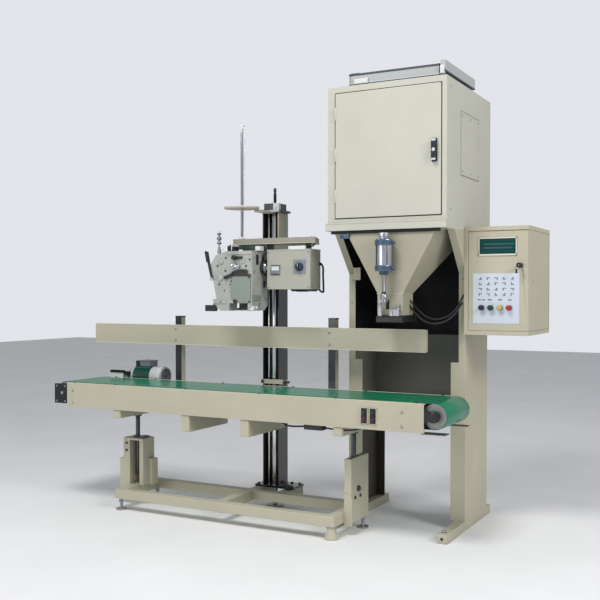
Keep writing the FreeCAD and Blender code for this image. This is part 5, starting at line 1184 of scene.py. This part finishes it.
CAMERA_PLACE = (2.4456, -4.2984, 1.170)    # metres
CAMERA_TILT, CAMERA_TURN = 88.77, 28.07    # degrees about X and Z
CAMERA_LENS, SENSOR_WIDTH = 54.09, 36.0    # millimetres
CAMERA_SHIFT = 0.0207                      # upwards, as a share of the sensor's width
FLOOR_REACH = 14.0                         # metres from the middle to an edge
SKY_LIGHT, SKY_SEEN = 0.42, 0.82           # strength of the sky as a light and as seen
LIGHTS = (                                 # name, place, aim, size in metres, watts
    ("key", (0.2, -3.0, 5.2), (0.0, 0.0, 1.0), (1.6, 1.4), 140),
    ("fill", (4.6, -1.6, 3.3), (1.0, 0.0, 1.9), (1.4, 1.4), 85),
    ("front", (-1.5, -5.0, 1.6), (0.0, 0.0, 0.9), (2.4, 1.6), 28),
)


def show(name, data):
    """Put an object of the studio, not of the machine, in the scene."""
    thing = bpy.data.objects.new(name, data)
    bpy.context.scene.collection.objects.link(thing)
    return thing


def floor():
    """A pale floor with a faint cloudy tone."""
    material, tree, shader = new_tree("studio_floor")
    tone = mottle(tree, noise(tree, 1.5, 3.0), 0.3, 0.7, 1.0, (0.88, 0.88, 0.88), (0.93, 0.93, 0.93))
    tree.links.new(tone, shader.inputs["Base Color"])
    shader.inputs["Roughness"].default_value = 0.7
    data = bpy.data.meshes.new("studio_floor")
    corners = [(FLOOR_REACH * x, FLOOR_REACH * y, 0) for x, y in ((-1, -1), (1, -1), (1, 1), (-1, 1))]
    data.from_pydata(corners, [], [(0, 1, 2, 3)])
    data.materials.append(material)
    show("studio_floor", data)


def area_light(name, place_at, aim, size, power):
    """A soft rectangular light aimed at a point; metres and watts."""
    lamp = bpy.data.lights.new(name, "AREA")
    lamp.shape = "RECTANGLE"
    lamp.size, lamp.size_y = size
    lamp.energy = power
    thing = show(name, lamp)
    thing.location = place_at
    thing.rotation_euler = (Vector(aim) - Vector(place_at)).to_track_quat("-Z", "Y").to_euler()


def studio():
    """Pale floor, even sky, soft lights and the camera."""
    floor()
    scene = bpy.context.scene
    world = bpy.data.worlds.new("studio")
    world.use_nodes = True
    sky = world.node_tree.nodes["Background"]
    sky.inputs["Color"].default_value = (0.93, 0.95, 1.0, 1.0)
    seen = add(world.node_tree, "ShaderNodeLightPath").outputs["Is Camera Ray"]
    world.node_tree.links.new(spread(world.node_tree, seen, SKY_LIGHT, SKY_SEEN), sky.inputs["Strength"])
    scene.world = world
    scene.view_settings.view_transform = "Standard"
    for light in LIGHTS:
        area_light(*light)
    lens = bpy.data.cameras.new("camera")
    lens.lens, lens.sensor_width = CAMERA_LENS, SENSOR_WIDTH
    lens.shift_y = CAMERA_SHIFT
    camera = show("camera", lens)
    camera.location = CAMERA_PLACE
    camera.rotation_euler = (math.radians(CAMERA_TILT), 0.0, math.radians(CAMERA_TURN))
    scene.camera = camera


dress_nodes()
stand_details()
cabinet_details()
inlet_details()
hopper_details()
control_details()
deck_details()
motor_details()
station_details()
guide_details()
base_details()
column_details()
head_details()
arm_details()
thread_details()
studio()
